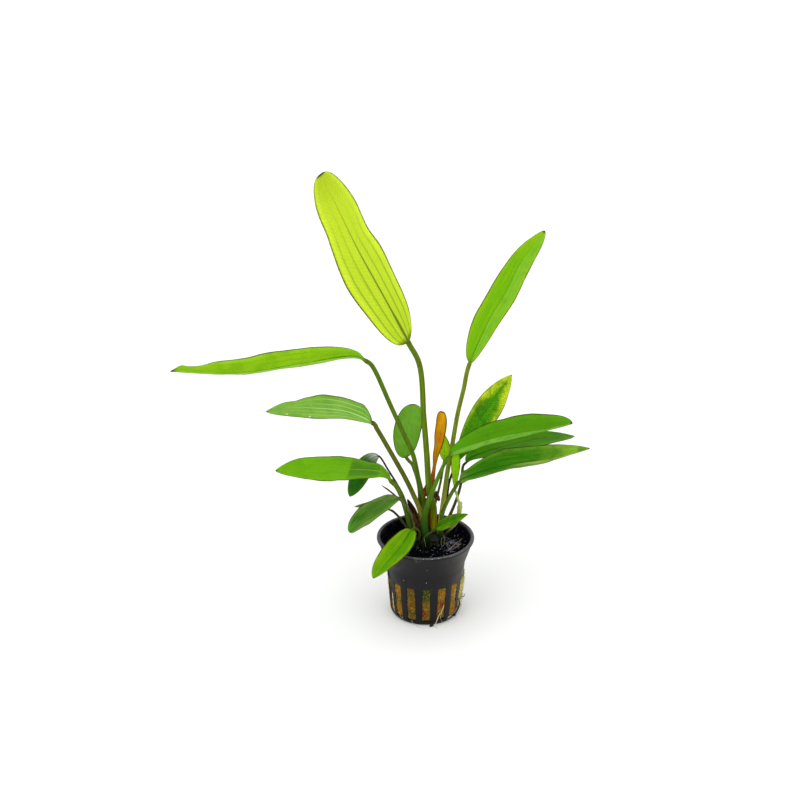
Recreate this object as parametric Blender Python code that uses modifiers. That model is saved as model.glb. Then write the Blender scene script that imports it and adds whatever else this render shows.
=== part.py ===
"""Potted amazon sword plant: a slotted nursery pot, its mineral-wool plug, the rootstock
with its stilt roots, and eighteen stalked leaves. Metres, +Z up, origin under the pot's
centre on the surface it stands on. Lengths below are written in millimetres times MM."""

from math import atan2, cos, pi, radians, sin, tan

import bmesh
import bpy
from mathutils import Quaternion, Vector

MM = 0.001
GAP = 0.3 * MM                  # clearance between pieces that touch

# Pot: the common 5 cm slotted pot
RIM_RADIUS = 29.0 * MM
POT_HEIGHT = 50.0 * MM
BASE_RADIUS = 20.9 * MM         # outside of the wall, just above the rounded foot
COLLAR_RADIUS = 23.8 * MM       # where the straight wall meets the flared collar
COLLAR_HEIGHT = 34.5 * MM
WALL = 1.2 * MM
LIP = 2.2 * MM                  # thickness of the rounded lip
FOOT_ROUNDING = 2.4 * MM
CORNER = 1.6 * MM               # rounding where wall and base meet inside
COLLAR_STEP = 0.15 * MM         # small ledge under the collar
SLOTS = 15
SLOT_WIDTH = 5.2 * MM
SLOT_BOTTOM = 3.2 * MM
SLOT_TOP = 25.7 * MM
FIRST_SLOT = radians(-89.1)     # the slot that faces the front, a little right of centre
BASE_SLOTS = 8
BASE_SLOT_WIDTH = 3.0 * MM
BASE_SLOT_FROM = 7.5 * MM
BASE_SLOT_TO = 16.0 * MM
STEPS_PER_SLOT = 4

# Plug and rootstock
PLUG_TOP = 43.0 * MM
PLUG_EDGE = 1.2 * MM            # how far the plug's upper edge is worn off
PLUG_FOOT = 2.4 * MM            # and its lower edge
PLUG_LUMP = 1.1 * MM
PLUG_RINGS = 4
PLUG_STEPS = 20
CROWN_CENTRE = Vector((0.8, 4.2, 46.6)) * MM
CROWN_SIZE = Vector((11.5, 9.5, 4.6)) * MM     # half-lengths of the crown
CROWN_BULGE = 0.06              # share by which its five lobes stand out
ROOT_RADIUS = 0.75 * MM
ROOT_DEPTH = 3.0 * MM           # how far the roots reach into the plug
ROOT_SPREAD = 2.0 * MM
ROOTS = 9

# Leaf solids
SIDES = 8
STALK_RINGS = 6
BLADE_RINGS = 14                # crowded towards base and tip, where the outline is round
SMALL_BLADE_RINGS = 8
SMALL_BLADE = 13                # narrower blades, in millimetres, have the fewer rings
BLADE_THICKNESS = 0.5 * MM
MIDRIB_DEPTH = 0.5 * MM
FLAT_FROM = 2.5                 # the section is a flat blade past this many stalk radii
TAPER = 1.5                     # how quickly a stalk narrows above its foot
TIP_RADIUS = 0.2 * MM
FOOT_HEIGHT = 46.5 * MM         # every stalk starts inside the crown and is seated on it
LINE_STEPS = 16                 # steps of a smooth midline between two of its points

# Each leaf: foot (x, y) on the crown, azimuth its blade points to, stalk diameters at foot
# and blade, the stalk's midline after the foot as (reach, height) from foot and ground, and
# the blade's midline, which starts where the stalk ends. Then the blade's width, how slender
# its outline is at base and tip (0.5 is round, 1 is pointed), its roll at base and tip, the
# fold of its two halves, and skew, the share by which one half is wider at the base and
# narrower at the tip. Angles in degrees, lengths in millimetres.
LEAVES = {
    "leaf_tall_pale": dict(
        foot=(5, 7), azimuth=-125, stalk=(3.7, 3.0),
        line=[(0, 63), (2.5, 71), (5.5, 80), (8, 102), (11.5, 128), (15.5, 159),
              (27.5, 178)],
        blade=[(48, 207), (72, 240.5), (90, 268.5), (101, 285)],
        width=27, base=0.41, tip=0.45, roll=(78, 68), fold=14, skew=0),
    "leaf_tall_right": dict(
        foot=(7.8, 5.2), azimuth=20, stalk=(2.8, 2.5),
        line=[(3, 70), (5.5, 90), (8, 105), (11, 124), (14.5, 139), (18, 155)],
        blade=[(29.5, 180), (39, 195), (48, 212), (57, 223), (62, 229)],
        width=20, base=0.52, tip=0.58, roll=(20, 22), fold=10, skew=0.17),
    "leaf_long_left": dict(
        foot=(0.2, 7.2), azimuth=180, stalk=(3, 2.7),
        line=[(0.6, 63), (1.3, 70), (4.3, 83), (7.6, 99), (12.5, 111),
              (20.5, 130), (29.5, 152), (34.5, 158)],
        blade=[(44.5, 160.8), (71.5, 156.4), (107.5, 150.6), (146.5, 151.7)],
        width=22.1, base=0.7, tip=0.68, roll=(-15, -1), fold=25, skew=-0.03),
    "leaf_arched_left": dict(
        foot=(-1.5, 4.5), azimuth=-170, stalk=(3, 2.8),
        line=[(1.6, 63.3), (5.9, 75.3), (11.1, 87.3), (19.1, 103.3), (27.1, 118.8),
              (30.1, 123.3)],
        blade=[(45.1, 131.3), (64.6, 134.9), (78.6, 135.8), (90.6, 134.7)],
        width=19.4, base=0.3, tip=0.77, roll=(-5, -47), fold=10, skew=-0.27),
    "leaf_flat_left": dict(
        foot=(-7.5, 4), azimuth=170, stalk=(3.9, 3.0),
        line=[(3, 60), (6, 71), (9.5, 79), (13, 82.5)],
        blade=[(20, 88.2), (38, 88.2), (53, 87), (69, 85.9), (83.5, 83.5)],
        width=22.3, base=0.7, tip=0.75, roll=(-4, -27), fold=3, skew=0.14),
    "leaf_hanging_left": dict(
        foot=(-6.5, 7.3), azimuth=140, stalk=(1.5, 1.2),
        line=[(7.5, 67), (13, 75), (20.5, 83), (27.5, 90)],
        blade=[(33, 87.5), (40, 78.5), (46, 67), (52, 55)],
        width=12, base=0.58, tip=0.61, roll=(50, 50), fold=7, skew=0.08),
    "leaf_low_left": dict(
        foot=(-6.3, 1), azimuth=-160, stalk=(2.0, 1.6),
        line=[(0.5, 58), (3, 65), (7, 71.5), (10, 75)],
        blade=[(16, 75), (28, 69), (35, 65), (41, 59)],
        width=15, base=0.58, tip=0.47, roll=(-17, -12), fold=9, skew=0),
    "leaf_tucked_left": dict(
        foot=(-9.3, 1.8), azimuth=175, stalk=(1.8, 1.4),
        line=[(2, 54), (5.5, 59.5), (8, 62.5), (11, 65)],
        blade=[(18, 67.5), (26, 67.5), (33, 66.5)],
        width=7, base=0.7, tip=0.7, roll=(0, 0), fold=8, skew=0),
    "leaf_front_pale": dict(
        foot=(-3.5, -1.6), azimuth=-119, stalk=(1.6, 1.2),
        line=[(0, 52), (4, 57), (9.5, 59)],
        blade=[(20, 55.5), (28, 53.5), (36, 52.5), (45, 51), (55, 49.5)],
        width=15.5, base=0.48, tip=0.66, roll=(-8, 2), fold=16, skew=0),
    "leaf_front_small": dict(
        foot=(-1.5, -4), azimuth=-20, stalk=(1.6, 1.2),
        line=[(1, 51), (4.5, 54.5), (8, 58.5)],
        blade=[(14.5, 63), (19.5, 66), (27.5, 71)],
        width=10.5, base=0.5, tip=0.95, roll=(25, 27), fold=2, skew=0),
    "leaf_round_back": dict(
        foot=(-3.3, 10), azimuth=130, stalk=(2.6, 2.1),
        line=[(0.5, 74.2), (6, 87.7), (10, 90.2), (12.5, 91.7)],
        blade=[(13.5, 96.2), (12.5, 106.2), (10.5, 116.2), (6.5, 128.2)],
        width=17, base=0.41, tip=0.37, roll=(-26, -28), fold=6, skew=0),
    "leaf_withered": dict(
        foot=(1.6, 10), azimuth=15, stalk=(2.6, 3.0),
        line=[(0.9, 70.5), (2.2, 79)],
        blade=[(3.3, 87.6), (4.7, 97.2), (6.1, 104.8), (7.6, 113.7), (8.2, 124.8)],
        width=7.8, base=1.18, tip=0.3, roll=(30, 40), fold=11, skew=0.04),
    "leaf_small_back": dict(
        foot=(4.2, 12.2), azimuth=50, stalk=(1.6, 1.4),
        line=[(1.2, 59), (3.9, 66.2), (8, 77.2), (10.8, 89.2)],
        blade=[(11.6, 95.8), (10.8, 101.3), (9, 107.6)],
        width=8.6, base=0.5, tip=0.4, roll=(7, 7), fold=14, skew=0),
    "leaf_upper_right": dict(
        foot=(0.5, -1), azimuth=-15, stalk=(4.8, 2.1),
        line=[(-1.5, 60.5), (1.5, 74), (6, 87.5), (10.5, 99), (13.5, 104)],
        blade=[(19.5, 108.7), (42.5, 119.1), (65, 126.1), (83, 132.4)],
        width=21.3, base=0.57, tip=0.54, roll=(25, 9), fold=27, skew=-0.11),
    "leaf_middle_right": dict(
        foot=(9.7, 8.5), azimuth=27, stalk=(2.0, 1.6),
        line=[(6.5, 59), (10.4, 68), (13, 77.3), (14, 87.6), (16, 90)],
        blade=[(21.5, 93.3), (46.4, 95.3), (75, 94.7), (93, 91.7)],
        width=21, base=0.65, tip=0.77, roll=(2, 8), fold=6, skew=0.11),
    "leaf_lower_right": dict(
        foot=(8.8, 1.8), azimuth=-6, stalk=(3.2, 2.1),
        line=[(1, 63), (5.5, 75.3), (8.3, 80.7), (10.6, 84.7)],
        blade=[(15.2, 88.1), (34.2, 95.9), (62.7, 102.3), (85.3, 110)],
        width=21.2, base=0.66, tip=0.78, roll=(18, 3), fold=24, skew=-0.13),
    "leaf_mottled_back": dict(
        foot=(7.5, 10.8), azimuth=48, stalk=(1.8, 1.4),
        line=[(7, 61), (8.5, 67.5), (10.5, 76.5), (16.5, 86)],
        blade=[(23, 94), (38, 107), (47, 114), (69, 128)],
        width=17.5, base=0.95, tip=0.87, roll=(58, 52), fold=10, skew=0),
    "leaf_young_narrow": dict(
        foot=(11.2, 5.2), azimuth=-4, stalk=(1.6, 1.4),
        line=[(7.5, 56), (9.5, 64), (8.5, 69.5), (7, 75)],
        blade=[(6, 79), (6.2, 90), (6.4, 102)],
        width=5.6, base=1.05, tip=0.3, roll=(80, 80), fold=10, skew=0),
    "stalk_dead": dict(
        foot=(-9.3, 6), azimuth=170, stalk=(1.2, 1.0),
        line=[(4.5, 67.5), (9, 72.5), (14, 76.5)],
        blade=[(17, 78.5)],
        width=1, base=0.5, tip=0.5, roll=(0, 0), fold=0, skew=0),
    "sheath_brown": dict(
        foot=(-4.2, 1.9), azimuth=180, stalk=(2.0, 1.6),
        line=[(0.4, 54)],
        blade=[(1.6, 60), (3.9, 66.5), (6.6, 73)],
        width=4.2, base=0.5, tip=0.6, roll=(80, 80), fold=10, skew=0),
}

# Colour, roughness
LOOKS = {
    "pot": ((0.022, 0.020, 0.022), 0.42),
    "rockwool_plug": ((0.16, 0.09, 0.02), 0.95),
    "rootstock": ((0.07, 0.06, 0.02), 0.8),
    "leaf_tall_pale": ((0.46, 0.68, 0.03), 0.45),
    "leaf_tall_right": ((0.19, 0.46, 0.02), 0.45),
    "leaf_long_left": ((0.26, 0.53, 0.02), 0.45),
    "leaf_hanging_left": ((0.03, 0.13, 0.01), 0.45),
    "leaf_front_pale": ((0.22, 0.46, 0.01), 0.45),
    "leaf_round_back": ((0.18, 0.38, 0.03), 0.5),
    "leaf_withered": ((0.46, 0.18, 0.01), 0.7),
    "leaf_small_back": ((0.30, 0.50, 0.01), 0.5),
    "stalk_dead": ((0.08, 0.06, 0.03), 0.8),
    "sheath_brown": ((0.05, 0.03, 0.015), 0.8),
}
LEAF_LOOK = ((0.10, 0.32, 0.01), 0.45)


def clear_scene():
    for old in list(bpy.data.objects):
        bpy.data.objects.remove(old, do_unlink=True)


def new_collection(name):
    collection = bpy.data.collections.new(name)
    bpy.context.scene.collection.children.link(collection)
    return collection


def dress(obj):
    """Give a piece its own plain material."""
    colour, roughness = LOOKS.get(obj.name, LEAF_LOOK)
    material = bpy.data.materials.new(obj.name)
    material.use_nodes = True
    shader = material.node_tree.nodes["Principled BSDF"]
    shader.inputs["Base Color"].default_value = (*colour, 1)
    shader.inputs["Roughness"].default_value = roughness
    shader.inputs["Metallic"].default_value = 0.0
    obj.data.materials.append(material)


def add_mesh(name, bm, collection):
    mesh = bpy.data.meshes.new(name)
    bm.to_mesh(mesh)
    bm.free()
    obj = bpy.data.objects.new(name, mesh)
    collection.objects.link(obj)
    return obj


def hide_cutter(obj):
    obj.hide_render = True
    obj.display_type = "WIRE"


def combine(obj, other, operation):
    """Boolean obj with other and keep the result as obj's own mesh."""
    modifier = obj.modifiers.new(operation.lower(), "BOOLEAN")
    modifier.operation = operation
    modifier.object = other
    bpy.context.view_layer.update()
    whole = obj.evaluated_get(bpy.context.evaluated_depsgraph_get())
    mesh = bpy.data.meshes.new_from_object(whole)
    obj.modifiers.remove(modifier)
    obj.data = mesh


def turned(name, profile, steps, collection):
    """Turn a profile, given from top axis down its outer side, about Z."""
    bm = bmesh.new()
    ring = [bm.verts.new((radius, 0, height)) for radius, height in profile]
    for upper, lower in zip(ring, ring[1:]):
        bm.edges.new((upper, lower))
    obj = add_mesh(name, bm, collection)
    screw = obj.modifiers.new("turn", "SCREW")
    screw.steps = screw.render_steps = steps
    screw.use_merge_vertices = True
    screw.merge_threshold = 0.00001
    return obj


def arc(centre, radius, start, end, count):
    """Points of an arc in the profile's plane, angles in degrees from outward."""
    turns = [radians(start + (end - start) * i / (count - 1)) for i in range(count)]
    return [(centre[0] + radius * cos(t), centre[1] + radius * sin(t)) for t in turns]


def pot_profile():
    """The wall's closed section, from the inside of the base, up, over the lip and down."""
    lip = LIP / 2
    inner_base = BASE_RADIUS - WALL
    inside = [
        (0, WALL),
        (inner_base - CORNER, WALL),
        (inner_base, WALL + CORNER),
        (COLLAR_RADIUS - WALL, COLLAR_HEIGHT + COLLAR_STEP),
    ]
    over = arc((RIM_RADIUS - lip, POT_HEIGHT - lip), lip, 180, -20, 5)
    outside = [(COLLAR_RADIUS + COLLAR_STEP, COLLAR_HEIGHT + COLLAR_STEP),
               (COLLAR_RADIUS, COLLAR_HEIGHT)]
    foot = arc((BASE_RADIUS - FOOT_ROUNDING, FOOT_ROUNDING), FOOT_ROUNDING, 0, -90, 3)
    return inside + over + outside + foot + [(0, 0)]


def slot_cutters(collection):
    """Boxes through the wall, and bars through the base between centre and wall."""
    bm = bmesh.new()

    def box(angle, start, end, width, bottom, top):
        made = bmesh.ops.create_cube(bm, size=1)["verts"]
        for v in made:
            along = start + (end - start) * (v.co.x + 0.5)
            across = width * v.co.y
            v.co = Vector((along * cos(angle) - across * sin(angle),
                           along * sin(angle) + across * cos(angle),
                           bottom + (top - bottom) * (v.co.z + 0.5)))

    for i in range(SLOTS):
        box(FIRST_SLOT + 2 * pi * i / SLOTS, BASE_RADIUS - 4 * MM, RIM_RADIUS,
            SLOT_WIDTH, SLOT_BOTTOM, SLOT_TOP)
    for i in range(BASE_SLOTS):
        box(2 * pi * (i + 0.5) / BASE_SLOTS, BASE_SLOT_FROM, BASE_SLOT_TO,
            BASE_SLOT_WIDTH, -WALL, 2 * WALL)
    cutter = add_mesh("slot_cutters", bm, collection)
    hide_cutter(cutter)
    return cutter


def make_pot(parts, cutters):
    pot = turned("pot", pot_profile(), SLOTS * STEPS_PER_SLOT, parts)
    pot.data.shade_smooth()
    cut = pot.modifiers.new("slots", "BOOLEAN")
    cut.operation = "DIFFERENCE"
    cut.object = slot_cutters(cutters)
    dress(pot)


def lump(x, y):
    """Uneven height of the plug's top, within about one PLUG_LUMP."""
    x, y = x / MM, y / MM
    return PLUG_LUMP * (0.5 * sin(0.42 * x + 1.0) * cos(0.37 * y)
                        + 0.3 * sin(0.9 * x - 0.7 * y) + 0.2 * cos(1.3 * y + 0.4 * x))


def make_plug(parts):
    """The wool fills the pot up to 7 mm under its rim and rests on the base."""
    base = BASE_RADIUS - WALL
    collar_slope = (RIM_RADIUS - COLLAR_RADIUS) / (POT_HEIGHT - COLLAR_HEIGHT)
    collar = COLLAR_RADIUS - WALL - 2 * GAP
    top = collar + (PLUG_TOP - COLLAR_HEIGHT) * collar_slope - GAP
    side = [(top - PLUG_EDGE / 2, PLUG_TOP), (top, PLUG_TOP - PLUG_EDGE),
            (collar, COLLAR_HEIGHT), (base - 2 * GAP, WALL + PLUG_FOOT),
            (base - PLUG_FOOT, WALL + GAP)]
    over = [(side[0][0] * i / PLUG_RINGS, PLUG_TOP) for i in range(PLUG_RINGS)]
    plug = turned("rockwool_plug", over + side + [(0, WALL + GAP)], PLUG_STEPS, parts)
    bpy.context.view_layer.update()
    whole = plug.evaluated_get(bpy.context.evaluated_depsgraph_get())
    plug.data = bpy.data.meshes.new_from_object(whole)
    plug.modifiers.clear()
    for v in plug.data.vertices:
        if v.co.z > PLUG_TOP - 0.1 * MM:
            v.co.z += lump(v.co.x, v.co.y)
    dress(plug)
    return plug


def crown_mesh(grow):
    """The squat crown, grown outwards by a clearance."""
    bm = bmesh.new()
    bmesh.ops.create_uvsphere(bm, u_segments=20, v_segments=10, radius=1)
    for v in bm.verts:
        x, y, z = v.co
        bulge = 1 + CROWN_BULGE * sin(5 * atan2(y, x))
        size = CROWN_SIZE + Vector((grow, grow, grow))
        v.co = CROWN_CENTRE + Vector((x * size.x * bulge, y * size.y * bulge, z * size.z))
    return bm


def add_root(bm, start, end, grow):
    """A stilt root from the crown down into the plug."""
    direction = (end - start).normalized()
    turn = Vector((0, 0, 1)).rotation_difference(direction).to_matrix()
    length = (end - start).length + grow
    made = bmesh.ops.create_cone(bm, cap_ends=True, segments=6, radius1=ROOT_RADIUS + grow,
                                 radius2=0.6 * ROOT_RADIUS + grow, depth=1)["verts"]
    for v in made:
        v.co = start + turn @ Vector((v.co.x, v.co.y, (v.co.z + 0.5) * length))


def root_line(i):
    """Start inside the crown and end inside the plug, spread round the crown."""
    angle = 2 * pi * (i + 0.3) / ROOTS
    across = Vector((cos(angle), sin(angle), 0))
    start = CROWN_CENTRE + 0.72 * CROWN_SIZE * across - Vector((0, 0, ROOT_RADIUS))
    end = start + (1 + 0.6 * sin(3 * i)) * ROOT_SPREAD * across
    end.z = PLUG_TOP - ROOT_DEPTH
    return start, end


def make_rootstock(parts, cutters):
    """The crown with its roots, and the same shape grown by the clearance as a cutter."""
    made = {}
    for name, grow, place in (("rootstock", 0, parts), ("rootstock_clearance", GAP, cutters)):
        stock = add_mesh(name, crown_mesh(grow), place)
        for i in range(ROOTS):
            bm = bmesh.new()
            add_root(bm, *root_line(i), grow)
            root = add_mesh("root", bm, cutters)
            combine(stock, root, "UNION")
            bpy.data.objects.remove(root, do_unlink=True)
        made[name] = stock
    dress(made["rootstock"])
    hide_cutter(made["rootstock_clearance"])
    return made["rootstock_clearance"]


def smooth_line(points):
    """A fine smooth curve through the points, as (length so far, point)."""
    ends = [2 * points[0] - points[1], *points, 2 * points[-1] - points[-2]]
    fine = []
    for a, b, c, d in zip(ends, ends[1:], ends[2:], ends[3:]):
        for i in range(LINE_STEPS):
            t = i / LINE_STEPS
            fine.append(0.5 * (2 * b + (c - a) * t + (2 * a - 5 * b + 4 * c - d) * t * t
                               + (3 * b - a - 3 * c + d) * t * t * t))
    fine.append(points[-1])
    line = [(0.0, fine[0])]
    for point in fine[1:]:
        line.append((line[-1][0] + (point - line[-1][1]).length, point))
    return line


def at_length(line, length):
    for (near, a), (far, b) in zip(line, line[1:]):
        if length <= far:
            return a.lerp(b, (length - near) / (far - near))
    return line[-1][1]


def ease(t):
    t = min(max(t, 0.0), 1.0)
    return t * t * (3 - 2 * t)


def outline(t, base, tip):
    """Share of the blade's width at t, which runs from 0 at its start to 1 at its tip."""
    widest = base / (base + tip)
    return (t / widest) ** base * (max(1 - t, 0.0) / (1 - widest)) ** tip


def leaf_section(leaf, t, length, angle):
    """Across and up from the midline: a round stalk that opens into a thin folded blade."""
    foot, top = leaf["stalk"]
    half = leaf["width"] / 2 * MM * outline(t, leaf["base"], leaf["tip"])
    spread = (1 - length) ** TAPER
    radius = (top + (foot - top) * spread) / 2 * MM * (1 - t) + TIP_RADIUS * t
    flat = ease(half / (FLAT_FROM * radius))
    half *= 1 + leaf["skew"] * (1 - 2 * t) * cos(angle)
    across = cos(angle) * ((1 - flat) * radius + flat * max(half, radius))
    up = sin(angle) * ((1 - flat) * radius + flat * BLADE_THICKNESS / 2)
    if sin(angle) < -0.99:
        up -= flat * MIDRIB_DEPTH * (1 - t)
    return across, up + flat * abs(across) * tan(radians(leaf["fold"]))


def make_leaf(name, leaf, parts, clearance):
    """A capped cylinder whose rings are laid along the leaf's midline."""
    azimuth = radians(leaf["azimuth"])
    out = Vector((cos(azimuth), sin(azimuth), 0))
    side = Vector((-sin(azimuth), cos(azimuth), 0))
    foot = Vector((*leaf["foot"], 0))
    points = [foot * MM + Vector((0, 0, FOOT_HEIGHT))]
    points += [(foot + out * reach + Vector((0, 0, height))) * MM
               for reach, height in leaf["line"] + leaf["blade"]]
    line = smooth_line(points)
    whole = line[-1][0]
    start = line[len(leaf["line"]) * LINE_STEPS][0]
    blade_rings = BLADE_RINGS if leaf["width"] > SMALL_BLADE else SMALL_BLADE_RINGS
    rings = [start * i / STALK_RINGS for i in range(STALK_RINGS)]
    rings += [start + (whole - start) * (1 - cos(pi * i / blade_rings)) / 2
              for i in range(blade_rings + 1)]

    bm = bmesh.new()
    bmesh.ops.create_cone(bm, cap_ends=True, segments=SIDES, radius1=1, radius2=1, depth=1)
    upright = [e for e in bm.edges if abs(e.verts[0].co.z - e.verts[1].co.z) > 0.5]
    bmesh.ops.subdivide_edges(bm, edges=upright, cuts=len(rings) - 2)
    for v in bm.verts:
        length = rings[round((v.co.z + 0.5) * (len(rings) - 1))]
        along = (at_length(line, length + MM / 2) - at_length(line, length - MM / 2))
        along.normalize()
        t = (length - start) / (whole - start)
        roll = leaf["roll"][0] * ease(1 + 2 * t)
        if t > 0:
            roll += (leaf["roll"][1] - leaf["roll"][0]) * t
        across, up = leaf_section(leaf, max(t, 0), min(length / start, 1),
                                  atan2(v.co.y, v.co.x))
        right = (side - along * side.dot(along)).normalized()
        normal = along.cross(right)
        turn = Quaternion(along, radians(roll))
        v.co = at_length(line, length) + turn @ (right * across + normal * up)
    obj = add_mesh(name, bm, parts)
    obj.data.shade_smooth()
    seat = obj.modifiers.new("seat", "BOOLEAN")
    seat.operation = "DIFFERENCE"
    seat.object = clearance
    dress(obj)


def main():
    clear_scene()
    parts = new_collection("potted_amazon_sword_plant")
    cutters = new_collection("cutters")
    make_pot(parts, cutters)
    plug = make_plug(parts)
    clearance = make_rootstock(parts, cutters)
    hole = plug.modifiers.new("root_holes", "BOOLEAN")
    hole.operation = "DIFFERENCE"
    hole.object = clearance
    for name, leaf in LEAVES.items():
        make_leaf(name, leaf, parts, clearance)


main()
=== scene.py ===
from math import atan2, cos, exp, pi, radians, sin, sqrt, tan
from random import Random

import bmesh
import bpy
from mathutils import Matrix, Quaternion, Vector, noise


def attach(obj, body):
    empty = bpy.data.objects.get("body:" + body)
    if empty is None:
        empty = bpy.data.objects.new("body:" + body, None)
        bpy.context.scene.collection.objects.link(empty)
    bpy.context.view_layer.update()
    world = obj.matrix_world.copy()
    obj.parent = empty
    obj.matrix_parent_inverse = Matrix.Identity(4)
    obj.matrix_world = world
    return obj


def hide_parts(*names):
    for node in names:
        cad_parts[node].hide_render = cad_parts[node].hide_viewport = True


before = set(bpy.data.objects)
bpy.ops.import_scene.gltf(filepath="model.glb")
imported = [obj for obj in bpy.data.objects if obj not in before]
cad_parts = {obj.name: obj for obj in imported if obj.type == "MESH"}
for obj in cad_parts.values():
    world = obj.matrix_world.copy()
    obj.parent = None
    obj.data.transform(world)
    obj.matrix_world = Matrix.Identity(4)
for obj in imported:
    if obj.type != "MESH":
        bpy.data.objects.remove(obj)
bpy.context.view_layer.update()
print("frame loaded")

mm = 0.001


# Shader helpers

def srgb(red, green, blue):  # 0-255 as a colour picker gives them, to linear
    linear = [((c / 255 + 0.055) / 1.055) ** 2.4 if c > 10 else c / 255 / 12.92
              for c in (red, green, blue)]
    return (*linear, 1)


def tonesOf(look):  # every colour in a dictionary, made linear
    return {key: srgb(*value) for key, value in look.items()
            if isinstance(value, tuple) and len(value) == 3}


def put(tree, kind, values=None, **settings):
    node = tree.nodes.new("ShaderNode" + kind)
    for key, value in settings.items():
        setattr(node, key, value)
    for key, value in (values or {}).items():
        socket = node.inputs[key]
        if isinstance(value, bpy.types.NodeSocket):
            tree.links.new(value, socket)
        else:
            socket.default_value = value
    return node


def calc(tree, operation, a, b=0.0, c=0.0):
    return put(tree, "Math", {0: a, 1: b, 2: c}, operation=operation).outputs[0]


def times(tree, a, b):
    return calc(tree, "MULTIPLY", a, b)


def weighted(tree, *terms):  # sum of each value times its weight
    total = 0.0
    for value, weight in terms:
        total = calc(tree, "MULTIPLY_ADD", value, weight, total)
    return total


def rise(tree, value, low, high, start=0.0, end=1.0):  # smooth step from start to end
    node = put(tree, "MapRange", {"Value": value, "From Min": low, "From Max": high,
                                  "To Min": start, "To Max": end},
               interpolation_type="SMOOTHSTEP")
    return node.outputs[0]


def stripes(tree, value, width):  # 1 at every whole number, 0 from this width on
    return rise(tree, calc(tree, "PINGPONG", value, 0.5), 0.0, width, 1.0, 0.0)


def mixColour(tree, factor, a, b, mode="MIX"):
    node = put(tree, "Mix", {0: factor, 6: a, 7: b}, data_type="RGBA", blend_type=mode)
    return node.outputs[2]


def painted(tree, colour, *coats):  # a coat is how much of it shows, and its tone
    for share, tone in coats:
        colour = mixColour(tree, share, colour, tone)
    return colour


def grain(tree, where, scale, detail=3.0, distortion=0.0):
    node = put(tree, "TexNoise", {"Vector": where, "Scale": scale, "Detail": detail,
                                  "Distortion": distortion})
    return node.outputs["Fac"]


def newMaterial(name):  # with its node tree and the place on the object
    material = bpy.data.materials.new(name)
    material.use_nodes = True
    tree = material.node_tree
    tree.nodes.clear()
    return material, tree, put(tree, "TexCoord").outputs["Object"]


def finishMaterial(material, colour, roughness, shine, height, depth, strength=0.5,
                   glow=None, glowColour=None):
    tree = material.node_tree
    bump = put(tree, "Bump", {"Height": height, "Distance": depth, "Strength": strength})
    shader = put(tree, "BsdfPrincipled", {"Base Color": colour, "Roughness": roughness,
                                          "Normal": bump.outputs[0],
                                          "Specular IOR Level": shine})
    surface = shader.outputs[0]
    if glow is not None:
        lit = put(tree, "BsdfTranslucent", {"Color": glowColour, "Normal": bump.outputs[0]})
        surface = put(tree, "MixShader", {0: glow, 1: surface, 2: lit.outputs[0]}).outputs[0]
    tree.nodes.active = put(tree, "OutputMaterial", {"Surface": surface})
    return material


# Pieces

def meshOf(name, bm):
    mesh = bpy.data.meshes.new(name)
    bm.to_mesh(mesh)
    bm.free()
    return mesh


def addObject(name, data):
    made = bpy.data.objects.new(name, data)
    bpy.context.scene.collection.objects.link(made)
    return made


def place(name, bm, material, slot, *replaced):
    bmesh.ops.recalc_face_normals(bm, faces=bm.faces)
    if bm.calc_volume(signed=True) < 0:        # a thin curled blade can come out inside out
        bmesh.ops.reverse_faces(bm, faces=bm.faces)
    mesh = meshOf(name, bm)
    mesh.materials.append(material)
    mesh.shade_smooth()
    piece = addObject(name, mesh)
    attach(piece, "root")
    if replaced:
        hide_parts(*replaced)


# Leaves

leafShape = dict(
    sides=44, stalkRings=60, bladeRings=130, lineSteps=16,
    footHeight=46.5,        # millimetres, where the solids start inside the crown
    rootHeight=41.2,        # the stalks go on down into the wool
    sheath=0.12,            # share by which a stalk widens at its foot
    taper=1.5,              # how quickly it narrows above
    ridges=7,               # fine ridges round a stalk
    ridgeDepth=0.04,        # as a share of its radius
    channel=0.14,           # depth of the groove along a stalk, as a share too
    channelWidth=0.45,      # half of it, in radians
    thickness=0.42,         # of the blade between its veins
    ribDepth=0.55,          # how far the midrib stands out below at the blade's base
    ribGroove=0.16,         # how deep it lies on the face
    ribWidth=0.5,           # half of it at the tip, and twice that at the base
    ribbing=0.07,           # how far the long veins press the surface in
    crease=1.1,             # half-width of the soft bend at the midrib
    uneven=0.45,            # slow unevenness of the blade
    edgeWave=0.012,         # share by which the waves widen a blade
    edgeLag=0.21,           # how far the two halves wave out of step
    flatFrom=2.5,           # stalk radii at which the section has become a flat blade
    tipRadius=0.2,
)

leafLook = dict(            # colours 0-255, as a picker reads them in the photo
    face=(85, 150, 15), deep=(60, 115, 15), base=(85, 140, 20), tip=(75, 130, 20),
    edge=(115, 170, 40), vein=(70, 130, 15), rib=(120, 160, 50), stalk=(92, 108, 25),
    foot=(70, 72, 28), margin=(94, 88, 16), under=(150, 185, 100), shadowPatchTone=(60, 110, 8),
    tipTone=(78, 50, 22), blushTone=(118, 74, 28), streakTone=(40, 45, 15), crownShadeTone=(4, 6, 3),
    baseTo=0.3, tipFrom=0.8, tipMark=0.977, footReach=0.25, blush=0.12,
    plus=None, minus=None,  # another colour of one half, from halfFrom on
    halfFrom=-0.3,
    shadowPatch=None,             # centre and half-length of a patch of painted shadow, cast by a leaf behind the blade
    veins=3, veinWidth=0.1, veinDepth=0.5, net=0.16, marginWidth=0.7,
    glow=0.22, rough=0.46, shine=0.06, speckle=0.3, fibre=0.5, flame=0.0,
)

leafGrain = dict(           # how fine each noise is, in patches a metre
    blotch=130.0, flame=240.0, rough=320.0, wobble=420.0, web=620.0, margin=700.0,
    dust=2600.0,
)

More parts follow.
